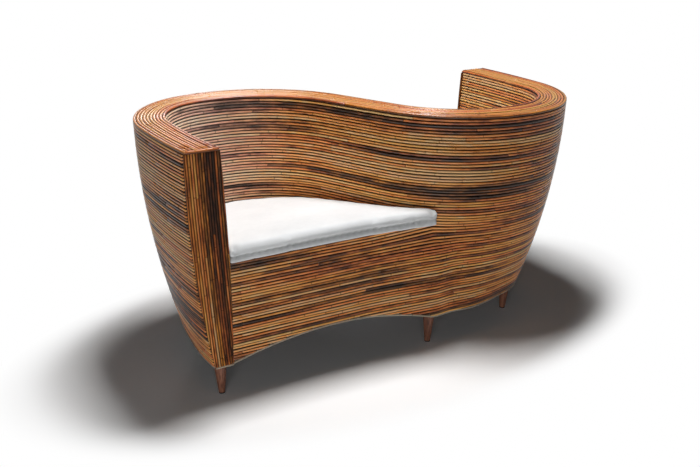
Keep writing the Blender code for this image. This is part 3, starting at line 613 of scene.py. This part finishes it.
def lay_skirt(basket, tones, rng):
    """Courses from the end post to the far end of the lobe, cut to the arch under the seat."""
    for number in range(SEAT_COURSES, COURSES):
        z = course_height(number)
        cut = arch_cut(z)
        line = skirt_line(z, cut)
        # Where the apron slopes back to the corner, the courses lie further apart and are fuller
        pitch = np.linalg.norm(skirt_line(z - COURSE / 2, cut) - skirt_line(z + COURSE / 2, cut), axis=1)
        fullness = np.clip(pitch / COURSE, 1, 1.3)
        outward = facing_out(line)
        line = wobble(line, rng)
        clear = (z > FOOT + EDGING / 2 + arch(line[:, 0]) - 1e-6) | (line[:, 0] > MID_LEG_X)
        runs = np.split(np.arange(len(line)), np.flatnonzero(np.diff(clear.astype(int))) + 1)
        for run in runs:
            if clear[run[0]] and len(run) > 1:
                lay_course(basket, line[run], outward[run], REED_RADIUS, tones[number], rng, fullness[run])


# %% Lay both halves
half_turn = Matrix.Rotation(math.pi, 4, "Z")
halves = (
    ("front", "right", 11, Matrix.Identity(4)),
    ("rear", "left", 23, half_turn),
)
for end, lobe, seed, turned in halves:
    rng = np.random.default_rng(seed)
    tones = streaks(COURSES, 2 * WALL_HALF, rng)
    wall, skirt = new_basket(), new_basket()
    lay_wall(wall, tones, rng, LOBE_LIGHT_AND_SHADE[end], SHEEN_BY_HALF[end])
    lay_skirt(skirt, tones, rng)
    wall_reeds = weave(f"{end}_wall_of_reeds", wall, reed_finish)
    skirt_reeds = weave(f"{end}_skirt_of_reeds", skirt, reed_finish)
    for piece, replaced in ((wall_reeds, f"{end}_seat_reeds"), (skirt_reeds, f"{end}_apron_reeds")):
        piece.data.transform(turned)
        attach(piece, "frame")
        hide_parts(replaced, f"{lobe}_back_reeds")

# %% [markdown]
# ## The upright reeds on the ends of the wall
# Each end of the wall is a tall face that narrows to its leg. It is clad with reeds that stand
# upright side by side, all of one width. They don't taper with the face: the outer ones are cut
# off where they meet its edges, which is how a cane worker fits them. The face is shaved smooth, so
# the grooves between the reeds are shallow and get lighter painted shade than those of the wall.

# %% End reeds
END_REED_PITCH = 0.0070
END_REED_RADIUS = 0.52 * END_REED_PITCH
END_LEVELS = 46
END_TOP_SHADE = 0.09


END_SHADES = (0.32, 0.48, 0.66, 0.76, 0.68, 0.52, 0.44, 0.36, 0.31, 0.26, 0.26, 0.36, 0.48)


def lay_end(basket, shades, rng):
    levels = np.linspace(FOOT + EDGING / 2, WALL_REEDS_TOP, END_LEVELS)
    left = np.array([edge_x(-1, z, END_Y) for z in levels])
    right = np.array([edge_x(1, z, END_Y) for z in levels])
    count = math.ceil((right - left).max() / END_REED_PITCH)
    outward = np.tile((0.0, -1.0, 0.0), (END_LEVELS, 1))
    for number in range(count):
        x = (left + right) / 2 + (number - (count - 1) / 2) * END_REED_PITCH
        inside = (x > left - END_REED_RADIUS) & (x < right + END_REED_RADIUS)
        line = np.column_stack([x, np.full(END_LEVELS, -END_Y), levels])[inside]
        first = len(basket["points"])
        # The strips are painted darker towards the top and paler at the foot, as painted shade
        shade = shades[number % len(shades)] + rng.normal(0, 0.05, 9) + END_TOP_SHADE * (1 - np.arange(9) / 2)
        lay_course(basket, line, outward[inside], END_REED_RADIUS, shade, rng)
        for points in basket["points"][first:]:
            low, high = np.interp(points[:, 2], levels, left), np.interp(points[:, 2], levels, right)
            points[:, 0] = np.clip(points[:, 0], low, high)


strip_finish = rattan("shaved_rattan_strips", END_REED_PITCH / 2, STAINED_CANE, 0.48, 1.5, 0.18, 0.0, gloss=0.12)
for end, lobe, seed, turned in halves:
    rng = np.random.default_rng(seed + 5)
    upright = new_basket()
    lay_end(upright, END_SHADES, rng)
    end_reeds = weave(f"{end}_upright_reeds", upright, strip_finish)
    end_reeds.data.transform(turned)
    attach(end_reeds, "frame")
    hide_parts(f"{end}_end_reeds")

# %% [markdown]
# ## The rim
# Ten reeds lie along the top of the wall. Hands and arms polish them and they are the palest cane on
# the sofa, so they get their own finish. The lines bend with the plan, one beside the other.

# %% Rim reeds
RIM_REEDS = 10
RIM_PITCH = WALL_TOP / RIM_REEDS
RIM_RADIUS = 0.53 * RIM_PITCH
BAND_PROUD = 0.0015
EDGE_TURN = 0.5
FAR_RIM_PAINTED_SHADE = 0.20

rng = np.random.default_rng(41)
rim = new_basket()
rim_shades = 0.54 + 0.6 * streaks(RIM_REEDS, 2 * WALL_HALF, rng)
# Painted shade: the rim's tone is lowered from the middle of the wall towards the far lobe, most past the bend
s_of_shades = STREAK_STEP * np.arange(rim_shades.shape[1]) - WALL_HALF
rim_shades -= np.interp(s_of_shades, (-MIDDLE_STRAIGHT, JUNCTION_AT, BEND_AT), (0, 0.12, FAR_RIM_PAINTED_SHADE))
for number in range(RIM_REEDS):
    offset = WALL_TOP / 2 - (number + 0.5) * RIM_PITCH
    line = wobble(wall_points(s_grid, offset, HEIGHT, END_Y), rng) - (0, 0, HAND)
    up = np.tile((0.0, 0.0, 1.0), (len(line), 1))
    # The two outer reeds turn their polished side to the edge
    to_edge = {0: EDGE_TURN, RIM_REEDS - 1: -EDGE_TURN}.get(number, 0)
    facing = unit(up + to_edge * np.column_stack([radial(wall_plan(s_grid)[1]), 0 * s_grid]))
    lay_course(rim, line + RIM_RADIUS * (facing - up), facing, RIM_RADIUS, rim_shades[number], rng)
for side in (-1, 1):
    # A reed laid across covers the cut ends
    cut_end = wall_points(np.full(9, side * WALL_HALF), np.linspace(-1, 1, 9) * (WALL_TOP / 2 - RIM_RADIUS), 0, END_Y)
    across = cut_end + (0, side * (BAND_PROUD - RIM_RADIUS), HEIGHT - HAND - RIM_RADIUS)
    outward = np.tile((0.0, side * 0.7, 0.7), (9, 1))
    lay_course(rim, across + RIM_RADIUS * unit(outward), unit(outward), RIM_RADIUS, np.full(3, 0.7), rng)
rim_reeds = weave("rim_of_reeds", rim, rim_finish)
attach(rim_reeds, "frame")
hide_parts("rim_reeds")

# %% [markdown]
# ## The edging
# A split cane, pale because it is left unstained, covers the cut ends along the foot of the end, the
# arch of the apron and the lobe. It is one half-round strip that follows the edge.

# %% Edging strip
EDGING_PROUD = 0.001


def edging_line():
    z = FOOT + EDGING / 2
    foot = [(edge_x(-1, z, END_Y), -END_Y, z), (edge_x(1, z, END_Y), -END_Y, z)]
    xs = np.linspace(edge_x(1, z, APRON_Y) + 0.004, junction[0], 60)
    under_apron = apron_points(xs, z + arch(xs))
    lobe = wall_points(lobe_grid, wall_face(1, lobe_grid, z), z)[1:]
    return np.concatenate([np.linspace(*foot, 6), under_apron, lobe])


cane_finish = rattan("natural_split_cane", EDGING / 2, BARE_CANE, 0.5, 1.1, 0.5, 0.0)
for end, lobe, seed, turned in halves:
    rng = np.random.default_rng(seed + 9)
    strip_basket = new_basket()
    line = edging_line()
    outward = facing_out(line)
    pale = np.full(math.ceil(2 * WALL_HALF / STREAK_STEP), 0.86)
    lay_course(strip_basket, line + EDGING_PROUD * outward, outward, 0.55 * EDGING, pale, rng)
    edging = weave(f"{end}_cane_edging", strip_basket, cane_finish)
    edging.data.transform(turned)
    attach(edging, "frame")
    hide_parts(f"{end}_edging")

# %% [markdown]
# ## The cushions
# Each seat has a loose cushion: a slab of foam in a white cotton canvas cover, cut to the shape of the
# seat. A block with rounded edges would look like soap. So a flat block is blown up as cloth
# for a few frames, with a little more canvas than it needs, which gives the crown, draws the sides in
# between the corners and leaves slack along the edges. It stays flat where it lies on the deck.

# %% Plan of a cushion
CUSHION_FRONT = 0.0475
CUSHION_RISE = -0.008
FOOT_LIFT = 0.0008
CUSHION_OVERHANG = 0.010
CUSHION_GAP = 0.005
TIP_BEFORE_CORNER = 0.008
DRAW_IN = 0.005
FRONT_POINTS = 40
CUSHION_VOXEL = 0.006
CUSHION_SPARE = 0.003
CUSHION_CAP = 0.012


def cushion_plan():
    tip_at = CORNER_AT - TIP_BEFORE_CORNER
    s = np.append(s_grid[(s_grid > -WALL_HALF + 0.03) & (s_grid < tip_at - 0.004)], tip_at)
    heights = np.linspace(SEAT_FRONT, HEIGHT, 9)
    clear = np.max([wall_face(1, s, z) for z in heights], axis=0) + CUSHION_GAP
    wall_side = wall_points(s, clear, 0)[:, :2]
    arm_x = max(edge_x(1, z, APRON_Y) for z in heights) + CUSHION_GAP
    tip_x = wall_side[-1, 0]
    xs = np.linspace(tip_x, arm_x, FRONT_POINTS)
    share = (xs - arm_x) / (tip_x - arm_x)
    front = np.column_stack([xs, bent_line(xs, junction) - CUSHION_OVERHANG + 4 * DRAW_IN * share * (1 - share)])
    return np.concatenate([wall_side, front])


def cushion_edge(y):
    """Height of the cushion's edge over the deck. The foam is sat a little thinner at the back."""
    return CUSHION_FRONT + CUSHION_RISE * (y + APRON_Y)


plan = cushion_plan()
print("cushion plan", np.round(plan.min(axis=0), 3), np.round(plan.max(axis=0), 3))

# %% A block of foam in canvas


def foam_block(outline):
    """A closed block on the sloping deck. It is a little long and wide, for the pressure draws the sides in."""
    way = np.roll(outline, -1, axis=0) - np.roll(outline, 1, axis=0)
    way = way / np.linalg.norm(way, axis=1)[:, None]
    cut = outline - CUSHION_SPARE * np.column_stack([-way[:, 1], way[:, 0]]) * turning
    work = bmesh.new()
    for share in (0, 1):
        heights = [seat_height(y) + FOOT_LIFT + share * (cushion_edge(y) - FOOT_LIFT) for x, y in cut]
        work.faces.new([work.verts.new((x, y, z)) for (x, y), z in zip(cut, heights)])
    work.verts.ensure_lookup_table()
    count = len(cut)
    for i in range(count):
        j = (i + 1) % count
        work.faces.new([work.verts[k] for k in (i, j, count + j, count + i)])
    bmesh.ops.recalc_face_normals(work, faces=work.faces)
    mesh = bpy.data.meshes.new("foam_block")
    work.to_mesh(mesh)
    work.free()
    return mesh


x, y = plan.T
turning = np.sign((x * np.roll(y, -1) - np.roll(x, -1) * y).sum())
block = bpy.data.objects.new("foam_block", foam_block(plan))
bpy.context.scene.collection.objects.link(block)
remesh = block.modifiers.new("even_faces", "REMESH")
remesh.mode = "VOXEL"
remesh.voxel_size = CUSHION_VOXEL
evaluated = block.evaluated_get(bpy.context.evaluated_depsgraph_get())
cover = bpy.data.meshes.new_from_object(evaluated)
print("cover", len(cover.vertices), "points")

# %% Blow the cover up as cloth
CLOTH_FRAMES = 20

block.modifiers.clear()
block.data = cover
rest = np.empty(3 * len(cover.vertices))
cover.vertices.foreach_get("co", rest)
rest = rest.reshape(-1, 3)
swollen = rest.copy()
cloth = block.modifiers.new("canvas", "CLOTH")
cloth.settings.quality = 5
cloth.settings.mass = 0.3
cloth.settings.tension_stiffness = 12
cloth.settings.compression_stiffness = 12
cloth.settings.bending_stiffness = 0.4
cloth.settings.shrink_min = -0.01
cloth.settings.use_pressure = True
cloth.settings.uniform_pressure_force = 2
cloth.settings.effector_weights.gravity = 0
cloth.collision_settings.use_collision = False
for number in range(1, CLOTH_FRAMES + 1):
    bpy.context.scene.frame_set(number)
blown = block.evaluated_get(bpy.context.evaluated_depsgraph_get()).to_mesh()
swollen = np.empty(3 * len(blown.vertices))
blown.vertices.foreach_get("co", swollen)
swollen = swollen.reshape(-1, 3)
block.modifiers.clear()
bpy.context.scene.frame_set(1)
moved = swollen - rest
far = np.linalg.norm(moved, axis=1)
print("canvas moved up to", round(1000 * far.max(), 1), "mm")
shape = rest + moved * (CUSHION_CAP / (CUSHION_CAP + far))[:, None]
shape[:, 2] = np.maximum(shape[:, 2], seat_height(shape[:, 1]) + 0.0004)

# %% Seam and corners
SEAM_LEVEL = 0.44
SEAM_SPREAD = 0.24
SEAM_DEPTH = 0.011
SEAM_SHADE_SPREAD = 0.17
ROLL = 0.018
TIP_ROLL = 0.006
PUCKER = 0.021
EDGE_REACH = 0.022
CORNER_DENT = 0.009
DENT_SIZE = 0.010
DENT_INSIDE = 0.016
SEAM_RUN_OUT = 0.06
SEAM_AT_TIP = 0.15

way = np.roll(plan, -1, axis=0) - np.roll(plan, 1, axis=0)
inward = turning * np.column_stack([-way[:, 1], way[:, 0]]) / np.linalg.norm(way, axis=1)[:, None]
steps = np.linalg.norm(np.diff(plan, axis=0), axis=1)
run_at = np.concatenate([[0], np.cumsum(steps)])
nearest = np.array([np.argmin(((plan - point) ** 2).sum(axis=1)) for point in shape[:, :2]])
inside = ((shape[:, :2] - plan[nearest]) * inward[nearest]).sum(axis=1)
level = (shape[:, 2] - seat_height(shape[:, 1])) / cushion_edge(shape[:, 1])
near_side = 1 - smooth(inside / EDGE_REACH)
along = run_at[nearest] + ((shape[:, :2] - plan[nearest]) * way[nearest]).sum(axis=1) / np.linalg.norm(way[nearest], axis=1)
gathers = 1 + 0.22 * np.sin(2 * math.pi * along / PUCKER)
tip = plan[len(plan) - FRONT_POINTS]
from_tip = np.linalg.norm(shape[:, :2] - tip, axis=1)
depth = SEAM_DEPTH * (SEAM_AT_TIP + (1 - SEAM_AT_TIP) * smooth(from_tip / SEAM_RUN_OUT))
pull = depth * near_side * gathers * np.exp(-(((level - SEAM_LEVEL) / SEAM_SPREAD) ** 2))
shape[:, :2] += pull[:, None] * inward[nearest]
# The seam and the corner dents get a note for painted shade
painted_seam_shade = near_side * np.exp(-(((level - SEAM_LEVEL) / SEAM_SHADE_SPREAD) ** 2))
# The upper edge of the front rolls over to the seam, and less so towards the tip
roll = TIP_ROLL + (ROLL - TIP_ROLL) * (1 - smooth((shape[:, 0] - corner[0] + 0.16) / 0.12))
roll = np.where(nearest >= len(plan) - FRONT_POINTS, roll, TIP_ROLL)
drop = roll - np.sqrt(roll**2 - (roll - np.clip(inside, 0, roll)) ** 2)
shape[:, 2] -= drop * np.clip((level - 0.3) / 0.7, 0, 1)
middle = plan.mean(axis=0)
for at in (len(plan) - 1, len(plan) - FRONT_POINTS):
    to_middle = (middle - plan[at]) / np.linalg.norm(middle - plan[at])
    dent = plan[at] + DENT_INSIDE * to_middle
    close = np.exp(-((shape[:, :2] - dent) ** 2).sum(axis=1) / DENT_SIZE**2)
    shape[:, 2] -= CORNER_DENT * close * smooth((level - 0.5) / 0.3)
    painted_seam_shade = np.maximum(painted_seam_shade, 0.7 * close)
print("seam pulled in up to", round(1000 * pull.max(), 1), "mm")

# %% Canvas finish
# Cotton canvas, plain weave, bleached. Threads 0.7 mm apart are too fine to show at this distance, so
# they are drawn at 1.6 mm. The cloth gives the eye a matt white with faint grey slubs and no gloss.
THREAD = 0.0016
SEAM_SHADE_VALUE = 0.55


def canvas(name):
    material, tree, output = new_finish(name)
    place = add(tree, "ShaderNodeTexCoord").outputs["Object"]
    threads = []
    for axis in ("X", "Y"):
        threads.append(
            add(
                tree,
                "ShaderNodeTexWave",
                {"Vector": place, "Scale": 0.314 / THREAD / 2, "Distortion": 0.6, "Detail": 1.0},
                bands_direction=axis,
            )
        )
    weft = add(tree, "ShaderNodeMath", {0: threads[0].outputs["Fac"], 1: threads[1].outputs["Fac"]}, operation="MULTIPLY")
    slub = add(tree, "ShaderNodeTexNoise", {"Vector": place, "Scale": 60.0, "Detail": 4.0})
    soil = add(tree, "ShaderNodeTexNoise", {"Vector": place, "Scale": 7.0, "Detail": 3.0})
    tint = add(tree, "ShaderNodeValToRGB", {0: soil.outputs["Fac"]}, stops=[(0.3, "#e9ebec"), (0.7, "#f3f5f6")])
    # Painted shade in the seam and at the corner dents, from the note set on the cover
    seam_shade_note = add(tree, "ShaderNodeAttribute", attribute_name="painted_seam_shade").outputs["Fac"]
    seam_shade_factor = add(tree, "ShaderNodeMapRange", {0: seam_shade_note, 3: 1.0, 4: SEAM_SHADE_VALUE})
    shade = add(tree, "ShaderNodeMapRange", {0: weft.outputs[0], 3: 0.94, 4: 1.0})
    shade = add(tree, "ShaderNodeMath", {0: shade.outputs[0], 1: seam_shade_factor.outputs[0]}, operation="MULTIPLY")
    uneven = add(tree, "ShaderNodeMapRange", {0: slub.outputs["Fac"], 1: 0.3, 2: 0.7, 3: 0.965, 4: 1.0})
    value = add(tree, "ShaderNodeMath", {0: shade.outputs[0], 1: uneven.outputs[0]}, operation="MULTIPLY")
    colour = add(
        tree,
        "ShaderNodeVectorMath",
        {0: tint.outputs["Color"], "Scale": value.outputs[0]},
        operation="SCALE",
    )
    rough = add(tree, "ShaderNodeMapRange", {0: slub.outputs["Fac"], 3: 0.82, 4: 0.95})
    height = add(tree, "ShaderNodeMath", {0: slub.outputs["Fac"], 1: 0.6, 2: weft.outputs[0]}, operation="MULTIPLY_ADD")
    bump = add(tree, "ShaderNodeBump", {"Strength": 0.25, "Distance": 0.0005, "Height": height.outputs[0]})
    shader = add(
        tree,
        "ShaderNodeBsdfPrincipled",
        {
            "Base Color": colour.outputs[0],
            "Roughness": rough.outputs[0],
            "Normal": bump.outputs[0],
            "Sheen Weight": 0.25,
            "Sheen Roughness": 0.5,
            "Specular IOR Level": 0.2,
        },
    )
    tree.links.new(shader.outputs[0], output.inputs[0])
    return material


canvas_finish = canvas("bleached_cotton_canvas")

# %% Two cushions from one cover
cover.vertices.foreach_set("co", shape.ravel())
cover.attributes.new("painted_seam_shade", "FLOAT", "POINT").data.foreach_set("value", painted_seam_shade.astype(np.float32))
cover.update()
cover.shade_smooth()
cover.materials.clear()
cover.materials.append(canvas_finish)
bpy.data.objects.remove(block)
for end, turned in (("front", Matrix.Identity(4)), ("rear", half_turn)):
    cushion = bpy.data.objects.new(f"{end}_canvas_cushion", cover.copy())
    cushion.data.transform(turned)
    bpy.context.scene.collection.objects.link(cushion)
    rounder = cushion.modifiers.new("finer", "SUBSURF")
    rounder.levels = rounder.render_levels = 1
    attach(cushion, f"{end}_cushion_body")
    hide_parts(f"{end}_cushion")
print("cushions made")

# %% [markdown]
# ## Wood, board, plastic and steel
# The legs are turned beech, stained reddish brown and waxed: fine grain upright, paler where the
# edges are rubbed near the foot. The hidden frame is beech and the decks and apron boards are
# plywood, both stained dark so that nothing pale shines through the gaps, the glides moulded nylon and the bolts zinc-plated steel. These CAD solids have the
# right shape already, so they stay and only get a finish.

# %% Wood
GRAIN_WIDTH = 0.0022


def wood(name, grain, dark, mid, pale, roughness, coat, worn_below=0.0):
    material, tree, output = new_finish(name)
    place = add(tree, "ShaderNodeTexCoord").outputs["Object"]
    along = add(tree, "ShaderNodeMapping", {0: place, "Scale": grain})
    fibre = add(tree, "ShaderNodeTexNoise", {"Vector": along.outputs[0], "Scale": 1 / GRAIN_WIDTH, "Detail": 6.0})
    cloud = add(tree, "ShaderNodeTexNoise", {"Vector": along.outputs[0], "Scale": 0.12 / GRAIN_WIDTH, "Detail": 3.0})
    mixed = add(tree, "ShaderNodeMath", {0: fibre.outputs["Fac"], 1: 0.55, 2: 0.0}, operation="MULTIPLY_ADD")
    mixed = add(tree, "ShaderNodeMath", {0: cloud.outputs["Fac"], 1: 0.45, 2: mixed.outputs[0]}, operation="MULTIPLY_ADD")
    stain = add(tree, "ShaderNodeValToRGB", {0: mixed.outputs[0]}, stops=[(0.34, dark), (0.5, mid), (0.66, pale)])
    height = add(tree, "ShaderNodeSeparateXYZ", {0: place}).outputs[2]
    rubbed = add(tree, "ShaderNodeMapRange", {0: height, 1: 0.0, 2: max(worn_below, 0.0001), 3: 1.0, 4: 0.0})
    patchy = add(tree, "ShaderNodeMath", {0: rubbed.outputs[0], 1: fibre.outputs["Fac"]}, operation="MULTIPLY")
    worn = add(
        tree,
        "ShaderNodeMix",
        {0: patchy.outputs[0], 6: stain.outputs["Color"], 7: linear(pale)},
        data_type="RGBA",
    )
    rough = add(tree, "ShaderNodeMapRange", {0: fibre.outputs["Fac"], 3: roughness - 0.08, 4: roughness + 0.12})
    bump = add(tree, "ShaderNodeBump", {"Strength": 0.2, "Distance": 0.0005, "Height": fibre.outputs["Fac"]})
    shader = add(
        tree,
        "ShaderNodeBsdfPrincipled",
        {
            "Base Color": worn.outputs[2],
            "Roughness": rough.outputs[0],
            "Normal": bump.outputs[0],
            "IOR": 1.5,
            "Coat Weight": coat,
            "Coat Roughness": 0.25,
        },
    )
    tree.links.new(shader.outputs[0], output.inputs[0])
    return material


leg_finish = wood("stained_waxed_beech", (1, 1, 0.06), "#4c2d21", "#7d503d", "#a46e55", 0.42, 0.25, worn_below=0.02)
frame_finish = wood("dark_stained_beech", (1, 1, 0.08), "#2c1d15", "#432d20", "#5a3f2d", 0.62, 0.0)
board_finish = wood("dark_stained_plywood", (0.06, 1, 1), "#2a1c14", "#3d2a1e", "#523a2a", 0.65, 0.0)

# %% Nylon and zinc


def speckled(name, low, high, grit, roughness, metallic):
    """A finish whose fine grit shows in its colour and in its gloss."""
    material, tree, output = new_finish(name)
    place = add(tree, "ShaderNodeTexCoord").outputs["Object"]
    grain = add(tree, "ShaderNodeTexNoise", {"Vector": place, "Scale": 1 / grit, "Detail": 3.0})
    colour = add(tree, "ShaderNodeValToRGB", {0: grain.outputs["Fac"]}, stops=[(0.35, low), (0.65, high)])
    rough = add(tree, "ShaderNodeMapRange", {0: grain.outputs["Fac"], 3: roughness - 0.1, 4: roughness + 0.1})
    bump = add(tree, "ShaderNodeBump", {"Strength": 0.15, "Distance": 0.0002, "Height": grain.outputs["Fac"]})
    shader = add(
        tree,
        "ShaderNodeBsdfPrincipled",
        {
            "Base Color": colour.outputs["Color"],
            "Roughness": rough.outputs[0],
            "Normal": bump.outputs[0],
            "Metallic": metallic,
        },
    )
    tree.links.new(shader.outputs[0], output.inputs[0])
    return material


nylon_finish = speckled("moulded_black_nylon", "#141414", "#232323", 0.0008, 0.5, 0.0)
zinc_finish = speckled("zinc_plated_steel", "#a9adb0", "#c6c8c9", 0.0006, 0.35, 1.0)

# %% Finishes for the CAD solids that stay
counts = {}
for name, node in frame["nodes"].items():
    if node.hide_render:
        continue
    if name.endswith("_leg"):
        finish = leg_finish
    elif name.endswith("_glide"):
        finish = nylon_finish
    elif name.endswith("_bolt"):
        finish = zinc_finish
    elif name.endswith(("_deck", "_board")):
        finish = board_finish
    else:
        finish = frame_finish
    for material_slot in node.material_slots:
        material_slot.material = finish
    counts[finish.name] = counts.get(finish.name, 0) + 1
print("CAD solids kept", counts)

# %% [markdown]
# ## Floor and light
# The photograph was taken in a white studio with soft light from above. The floor is plain white and
# keeps the sofa's shadow. Far from the sofa it gives way to the white of the background, so no line
# shows where it ends.

# %% Floor
FLOOR_HALF = 9.0
SHADOW_REACH = (0.96, 1.20)
SHADOW_LONGER = 2.0
LIT_WHITE = 1.16
FLOOR_WHITE = 0.80

floor_mesh = bpy.data.meshes.new("studio_floor")
corners = [(-FLOOR_HALF, -FLOOR_HALF, 0), (FLOOR_HALF, -FLOOR_HALF, 0), (FLOOR_HALF, FLOOR_HALF, 0), (-FLOOR_HALF, FLOOR_HALF, 0)]
floor_mesh.from_pydata(corners, [], [(0, 1, 2, 3)])
floor = bpy.data.objects.new("studio_floor", floor_mesh)
bpy.context.scene.collection.objects.link(floor)

floor_finish, tree, output = new_finish("white_studio_floor")
place = add(tree, "ShaderNodeTexCoord").outputs["Object"]
long_place = add(tree, "ShaderNodeVectorMath", {0: place, 1: (1, SHADOW_LONGER, 1)}, operation="MULTIPLY")
away = add(tree, "ShaderNodeVectorMath", {0: long_place.outputs[0]}, operation="LENGTH").outputs["Value"]
far_off = add(
    tree,
    "ShaderNodeMapRange",
    {0: away, 1: SHADOW_REACH[0], 2: SHADOW_REACH[1]},
    interpolation_type="SMOOTHSTEP",
)
rays = add(tree, "ShaderNodeLightPath").outputs
seen = add(tree, "ShaderNodeMath", {0: rays["Is Camera Ray"], 1: rays["Is Glossy Ray"]}, operation="MAXIMUM")
seen = add(tree, "ShaderNodeMath", {0: seen.outputs[0], 1: rays["Is Transmission Ray"]}, operation="MAXIMUM")
share = add(tree, "ShaderNodeMath", {0: far_off.outputs[0], 1: seen.outputs[0]}, operation="MULTIPLY")
pale = add(tree, "ShaderNodeMapRange", {0: rays["Is Camera Ray"], 3: FLOOR_WHITE, 4: LIT_WHITE})
matt = add(tree, "ShaderNodeBsdfDiffuse", {"Color": pale.outputs[0]})
white = add(tree, "ShaderNodeEmission", {"Color": (1, 1, 1, 1), "Strength": 1.0})
mixed = add(tree, "ShaderNodeMixShader", {0: share.outputs[0], 1: matt.outputs[0], 2: white.outputs[0]})
tree.links.new(mixed.outputs[0], output.inputs[0])
floor_mesh.materials.append(floor_finish)

# %% World
# The backdrop stands behind the sofa. Gloss shows it pale, and the open side of the studio dim.
AMBIENT = 0.015
DIM_FRONT = 0.1
GLOSSED_BACK = 0.6
BACKDROP_WAY = (0.8, 0.6, 0.0)

world = bpy.data.worlds.new("white_studio")
bpy.context.scene.world = world
world.use_nodes = True
tree = world.node_tree
tree.nodes.clear()
rays = add(tree, "ShaderNodeLightPath").outputs
way = add(tree, "ShaderNodeTexCoord").outputs["Generated"]
to_back = add(tree, "ShaderNodeVectorMath", {0: way, 1: BACKDROP_WAY}, operation="DOT_PRODUCT").outputs["Value"]
backdrop = add(tree, "ShaderNodeMapRange", {0: to_back, 1: -0.1, 2: 0.4, 3: DIM_FRONT, 4: GLOSSED_BACK})
mirrored = add(tree, "ShaderNodeMath", {0: rays["Is Glossy Ray"], 1: backdrop.outputs[0]}, operation="MULTIPLY")
seen = add(tree, "ShaderNodeMath", {0: rays["Is Camera Ray"], 1: mirrored.outputs[0]}, operation="MAXIMUM")
seen = add(tree, "ShaderNodeMath", {0: seen.outputs[0], 1: rays["Is Transmission Ray"]}, operation="MAXIMUM")
strength = add(tree, "ShaderNodeMath", {0: seen.outputs[0], 1: AMBIENT}, operation="MAXIMUM")
sky = add(tree, "ShaderNodeBackground", {"Color": (1, 1, 1, 1), "Strength": strength.outputs[0]})
output = add(tree, "ShaderNodeOutputWorld", {0: sky.outputs[0]})

# %% Lamps


def softbox(name, place, aim, width, depth, power, spread=180):
    lamp = bpy.data.objects.new(name, bpy.data.lights.new(name, "AREA"))
    lamp.data.shape = "RECTANGLE"
    lamp.data.size = width
    lamp.data.size_y = depth
    lamp.data.energy = power
    lamp.data.spread = math.radians(spread)
    lamp.location = place
    lamp.rotation_euler = (Vector(aim) - Vector(place)).to_track_quat("-Z", "Y").to_euler()
    bpy.context.scene.collection.objects.link(lamp)
    return lamp


softbox("overhead_softbox", (0.012, 0.13, 2.55), (0.012, 0.13, 0), 0.6, 0.6, 55)
softbox("low_front_softbox", (-1.6, -2.75, 0.4), (0, 0, 0.4), 1.8, 0.6, 26)
softbox("far_back_softbox", (0.5, 2.8, 1.41), (-0.3, 0.3, 0.76), 0.9, 0.9, 0.5, spread=28)
print("three softboxes")

# %% View settings
bpy.context.scene.view_settings.view_transform = "Standard"
